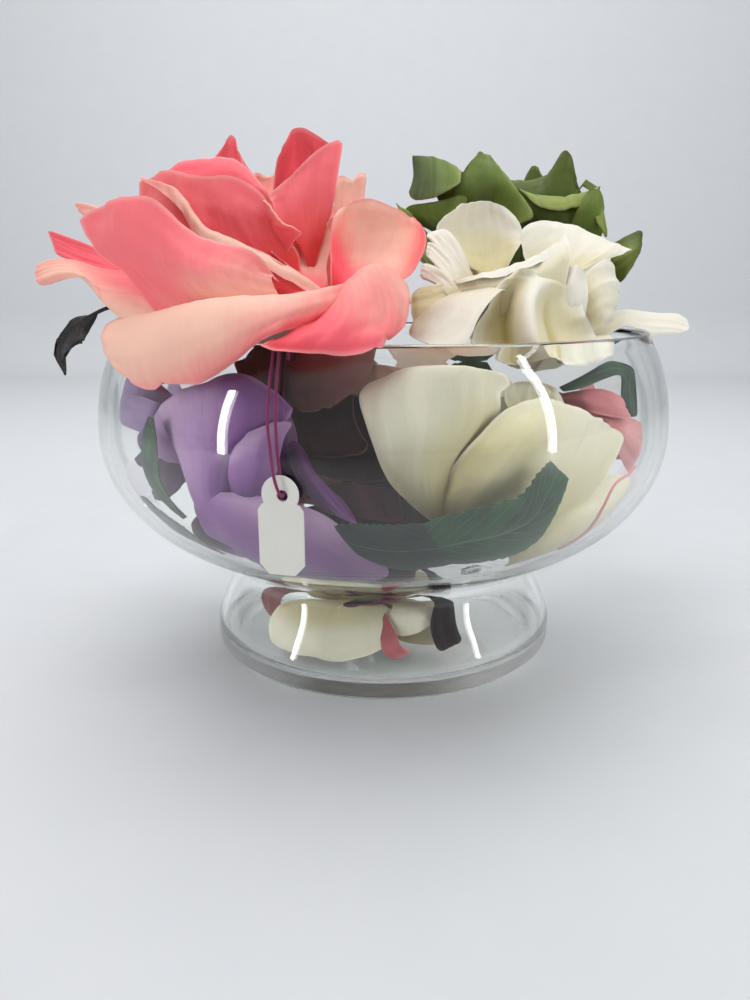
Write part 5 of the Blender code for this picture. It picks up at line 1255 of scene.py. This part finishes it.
def make_leaf(name, leaf, material, slot, tuck=0.0):
    """A leaf along the bowl's inner face, with cut teeth along both of its edges.

    tuck is how far its stalk's end slips in behind the next leaf, in degrees.
    """
    rows, columns = 72, 25
    u, v = (g.reshape(-1) for g in np.meshgrid(np.linspace(-1, 1, columns), np.linspace(0, 1, rows)))
    edge = np.abs(u)
    teeth = 1 - 0.10 * ((v * 13) % 1.0) * smooth_step(edge, 0.6, 1.0) * smooth_step(v, 0.1, 0.3)
    bearing, z = leaf_surface(leaf, u * teeth, v).T
    bearing, z = bearing + tuck * (1 - smooth_step(v, 0.0, 0.35)), np.maximum(z, LEAF_LOWEST)
    fold = 0.8 * (1 - edge) ** 2 * smooth_step(v, 0.0, 0.2)
    if tuck:
        fold = 1.2 * (1 - smooth_step(v, 0.05, 0.4))
    points = on_wall(bearing, inside_radius(z, LEAF_TO_GLASS + fold), z)
    blade = points.reshape(rows, columns, 3), np.zeros((rows, columns))
    made = blades_object(name + "_blade", [blade], LEAF_THICKNESS, [material])
    return dress(made, slot, name)


def make_bowl():
    """The bowl turned from its profile, with a rounded lip and foot."""
    lip_inner, lip_outer = INNER_CURVE[-1], OUTER_CURVE[-1]
    middle, half = (lip_inner + lip_outer) / 2, (lip_outer - lip_inner) / 2
    up = np.array([-half[1], half[0]])
    lip = [middle - half * math.cos(a) + up * 0.8 * math.sin(a) for a in np.linspace(0, math.pi, 9)]
    inner_foot = INNER_CURVE[0][0]
    profile = [(0, FLOOR), (inner_foot - 16, FLOOR)]
    profile += [(inner_foot - 5.0, FLOOR + 0.1), (inner_foot - 1.6, FLOOR + 0.9)]
    profile += [tuple(q) for q in INNER_CURVE[:-1]]
    profile += [tuple(q) for q in lip]
    profile += [tuple(q) for q in OUTER_CURVE[-2::-1]]
    profile += [(60.1, 3.6), (59.4, 2.2), (58.2, 1.0)]
    profile += [(FOOT_FLAT_RADIUS, 0.15), (FOOT_FLAT_RADIUS - 1.5, 0)]
    profile += [(FOOT_FLAT_RADIUS - 3.0, 0.15), (50.5, 1.1), (46.0, 1.8), (34.0, 2.2), (0, 2.4)]
    wire = bpy.data.meshes.new("bowl_profile")
    edges = [(i, i + 1) for i in range(len(profile) - 1)]
    wire.from_pydata([(r * MM, 0, z * MM) for r, z in profile], edges, [])
    bowl = new_object("bowl_glass", wire)
    turn = bowl.modifiers.new("Turn", "SCREW")
    turn.steps = turn.render_steps = BOWL_STEPS
    turn.use_merge_vertices = True
    turn.merge_threshold = 0.00002
    turn.use_smooth_shade = True
    bpy.context.view_layer.update()
    bowl.data = bpy.data.meshes.new_from_object(bowl.evaluated_get(bpy.context.evaluated_depsgraph_get()))
    bowl.modifiers.clear()
    bowl.data.materials.append(glass_material("clear_glass_look", 0.0))
    bowl.data.materials.append(glass_material("ground_glass_look", 0.4))
    bowl.data.materials.append(glass_material("lip_glass_look", 0.22))
    for face in bowl.data.polygons:
        under_foot = face.center.z < 2.6 * MM and face.normal.z < -0.5
        on_lip = face.center.z > lip_outer[1] * MM
        face.material_index = 2 if on_lip else int(under_foot)
    return dress(bowl, "clear_glass", "glass_bowl")


def tag_outline(steps):
    """The tag's outline as (across, up), with a round head and clipped lower corners."""
    head, half, bottom, top = TAG_HEAD_RADIUS, TAG_WIDTH / 2, -TAG_HEIGHT / 2, TAG_HEIGHT / 2
    middle = top - head
    shoulder = middle - 3.4
    angles = np.radians(np.linspace(-30, 210, steps))
    arc = [(head * math.cos(a), middle + head * math.sin(a)) for a in angles]
    left = [(-half + 1.0, shoulder + 0.8), (-half, shoulder - 0.6)]
    left += [(-half, bottom + 2.6), (-half + 2.4, bottom)]
    right = [(-x, z) for x, z in reversed(left)]
    return right + arc + left


def make_tag():
    """The blank tag as a flat curve with its hole, bevelled a little along its edges."""
    curve = bpy.data.curves.new("tag_card", "CURVE")
    curve.dimensions = "2D"
    curve.fill_mode = "BOTH"
    curve.extrude = (TAG_THICKNESS / 2 - TAG_BEVEL) * MM
    curve.bevel_depth = TAG_BEVEL * MM
    curve.bevel_resolution = 2
    hole = TAG_HOLE_DIAMETER / 2
    across, up = TAG_HOLE_MIDDLE
    angles = np.linspace(0, 2 * math.pi, 33)[:-1]
    ring = [(across + hole * math.cos(a), up + hole * math.sin(a)) for a in angles]
    for outline in (tag_outline(33), ring):
        spline = curve.splines.new("POLY")
        spline.points.add(len(outline) - 1)
        spline.use_cyclic_u = True
        for point, (x, z) in zip(spline.points, outline):
            point.co = (x * MM, z * MM, 0, 1)
    curve.materials.append(card_material())
    tag = new_object("tag_card", curve)
    turned = Matrix.Rotation(math.radians(TAG_TURN), 4, "Z")
    turned = turned @ Matrix.Translation((0, TAG_THICKNESS / 2 * MM, 0))
    upright = Matrix.Rotation(math.pi / 2, 4, "X")
    tag.matrix_world = Matrix.Translation(Vector(TAG_MIDDLE) * MM) @ turned @ upright
    return dress(tag, "white_card", "price_tag")


def make_thread(tag):
    """The thread, as one open curve from under the coral rose, through the tag and back."""
    path = smooth_path([on_wall(np.float64(b), r, z) for b, r, z in THREAD_PATH], 6)
    strand = make_strand(
        "tag_thread_strand", path, THREAD_DIAMETER, thread_material(),
        "magenta_thread", "tag_thread", rounds=4,
    )
    return strand


def make_camera():
    data = bpy.data.cameras.new("camera")
    camera = new_object("camera", data)
    data.sensor_width = SENSOR_WIDTH
    data.lens = FOCAL_PIXELS / FRAME_HEIGHT * SENSOR_WIDTH
    data.clip_start = 0.01
    data.shift_x = -(AXIS_PIXEL - FRAME_WIDTH / 2) / FRAME_HEIGHT
    camera.location = (0, -CAMERA_DISTANCE, CAMERA_HEIGHT)
    camera.rotation_euler = (math.pi / 2 - math.radians(CAMERA_PITCH), 0, 0)
    bpy.context.scene.camera = camera


def make_lamp(name, size, place, target, watts, colour=(1, 1, 1)):
    data = bpy.data.lights.new(name, "AREA")
    data.shape = "RECTANGLE"
    data.size, data.size_y = size
    data.energy = watts
    data.color = colour
    lamp = new_object(name, data)
    lamp.location = place
    lamp.rotation_euler = (Vector(target) - Vector(place)).to_track_quat("-Z", "Y").to_euler()


def make_studio():
    """A pale sweep that runs from the floor up into a backdrop, in metres, and its light.

    The light is soft all round, with two strip lamps, one lamp overhead and one for the backdrop.
    """
    depth, height, bend, front, half_width, sunk = 1.05, 1.6, 0.10, -2.2, 3.0, 0.0002
    angles = np.linspace(0, math.pi / 2, 10)
    profile = [(front, 0.0)]
    profile += [(depth - bend + bend * math.sin(a), bend - bend * math.cos(a)) for a in angles]
    profile += [(depth, height)]
    corners = [(x, y, z - sunk) for y, z in profile for x in (-half_width, half_width)]
    faces = [(2 * i, 2 * i + 1, 2 * i + 3, 2 * i + 2) for i in range(len(profile) - 1)]
    mesh = bpy.data.meshes.new("studio_sweep")
    mesh.from_pydata(corners, [], faces)
    mesh.shade_smooth()
    sweep = new_object("studio_sweep", mesh)
    n = Nodes("studio_sweep_look")
    grain = n.noise(n.add("ShaderNodeTexCoord").outputs["Object"], 40.0, 2.0)
    n.set(Base_Color=n.blend(grain, linear(218, 221, 224), linear(223, 225, 228)), Roughness=0.6)
    n.set(Specular_IOR_Level=0.2)
    mesh.materials.append(n.material)
    world = bpy.data.worlds.new("studio_air")
    bpy.context.scene.world = world
    world.use_nodes = True
    background = world.node_tree.nodes["Background"]
    background.inputs["Color"].default_value = (*linear(240, 242, 245), 1)
    background.inputs["Strength"].default_value = 0.38
    make_lamp("strip_left", (0.05, 0.55), (-0.80, -0.50, 0.20), (0, 0, 0.08), 2.2)
    make_lamp("strip_right", (0.045, 1.0), (0.84, -0.46, 0.30), (0, 0, 0.08), 2.9)
    make_lamp("overhead", (1.0, 0.8), (-0.1, 0.05, 1.0), (0, 0.05, 0.05), 6.8)
    make_lamp("backdrop_light", (1.8, 0.5), (0.0, 0.2, 1.3), (0, 1.05, 0.95), 5.4)


def main():
    bpy.context.scene.view_settings.view_transform = "Standard"
    make_camera()
    make_studio()
    looks = {
        finish: [
            petal_material(f"{finish}_{face}", *(linear(*colour) for colour in colours))
            for face, colours in zip(("inner", "outer"), both)
        ]
        for finish, both in CLOTH.items()
    }
    roses = {rose.name: rose for rose in ROSES}
    for rose in ROSES:
        make_rose(rose, looks)
    green = leaf_material("leaf_green_look", linear(24, 48, 30), linear(48, 84, 58), linear(96, 132, 100))
    # The dark leaf cloth is the green one darkened and greyed as painted shade, for leaves that lie in
    # shadow
    dark = leaf_material("leaf_dark_look", linear(22, 34, 30), linear(40, 56, 50), linear(80, 96, 88))
    for name, leaf in LEAVES.items():
        shade = ("leaf_dark", dark) if "dark" in name else ("leaf_green", green)
        make_leaf(name, leaf, shade[1], shade[0], TUCKED.get(name, 0.0))
    coral, rng = roses["coral_rose"], np.random.default_rng(5)
    curled = petal_blade(OUTER_LEAF, coral, rng)
    outer = leaf_material("leaf_outer_look", linear(12, 8, 9), linear(24, 16, 18), linear(44, 32, 34))
    dress(blades_object("outer_leaf_blade", [curled], LEAF_THICKNESS, [outer]), "leaf_dark", "coral_rose")
    stem = coral.placed(smooth_path(OUTER_STEM, 8))
    make_strand("outer_leaf_stem", stem, OUTER_STEM_DIAMETER, outer, "leaf_dark", "coral_rose")
    dusty = roses["dusty_pink_rose"]
    ribbon = petal_blade(RIBBON, dusty, rng)
    blade = blades_object("ribbon_leaf_blade", [ribbon], LEAF_THICKNESS, [green])
    dress(blade, "leaf_green", "dusty_pink_rose")
    foot = roses["foot_rose"]
    for name, finish, slot, patch in FOOT_BITS:
        patch.start_from(foot.root, unit(foot.eye - foot.root), foot.heart)
        bit = petal_blade(patch, foot, rng)
        dress(blades_object(name + "_blade", [bit], PETAL_THICKNESS, looks[finish]), slot, "foot_rose")
    pink = smooth_path([on_wall(b, inside_radius(z, PINK_STEM_TO_GLASS), z) for b, z in PINK_STEM], 4)
    silk = looks["dusty_pink"][0]
    make_strand("pink_stem", pink, PINK_STEM_DIAMETER, silk, "dusty_pink_silk", "dusty_pink_rose")
    make_bowl()
    make_thread(make_tag())
    for name in ("silver_wire_front", "silver_wire_left"):
        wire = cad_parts[name]
        wire.data.materials.clear()
        wire.data.materials.append(wire_material())
        wire.data.shade_smooth()
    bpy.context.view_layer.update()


main()
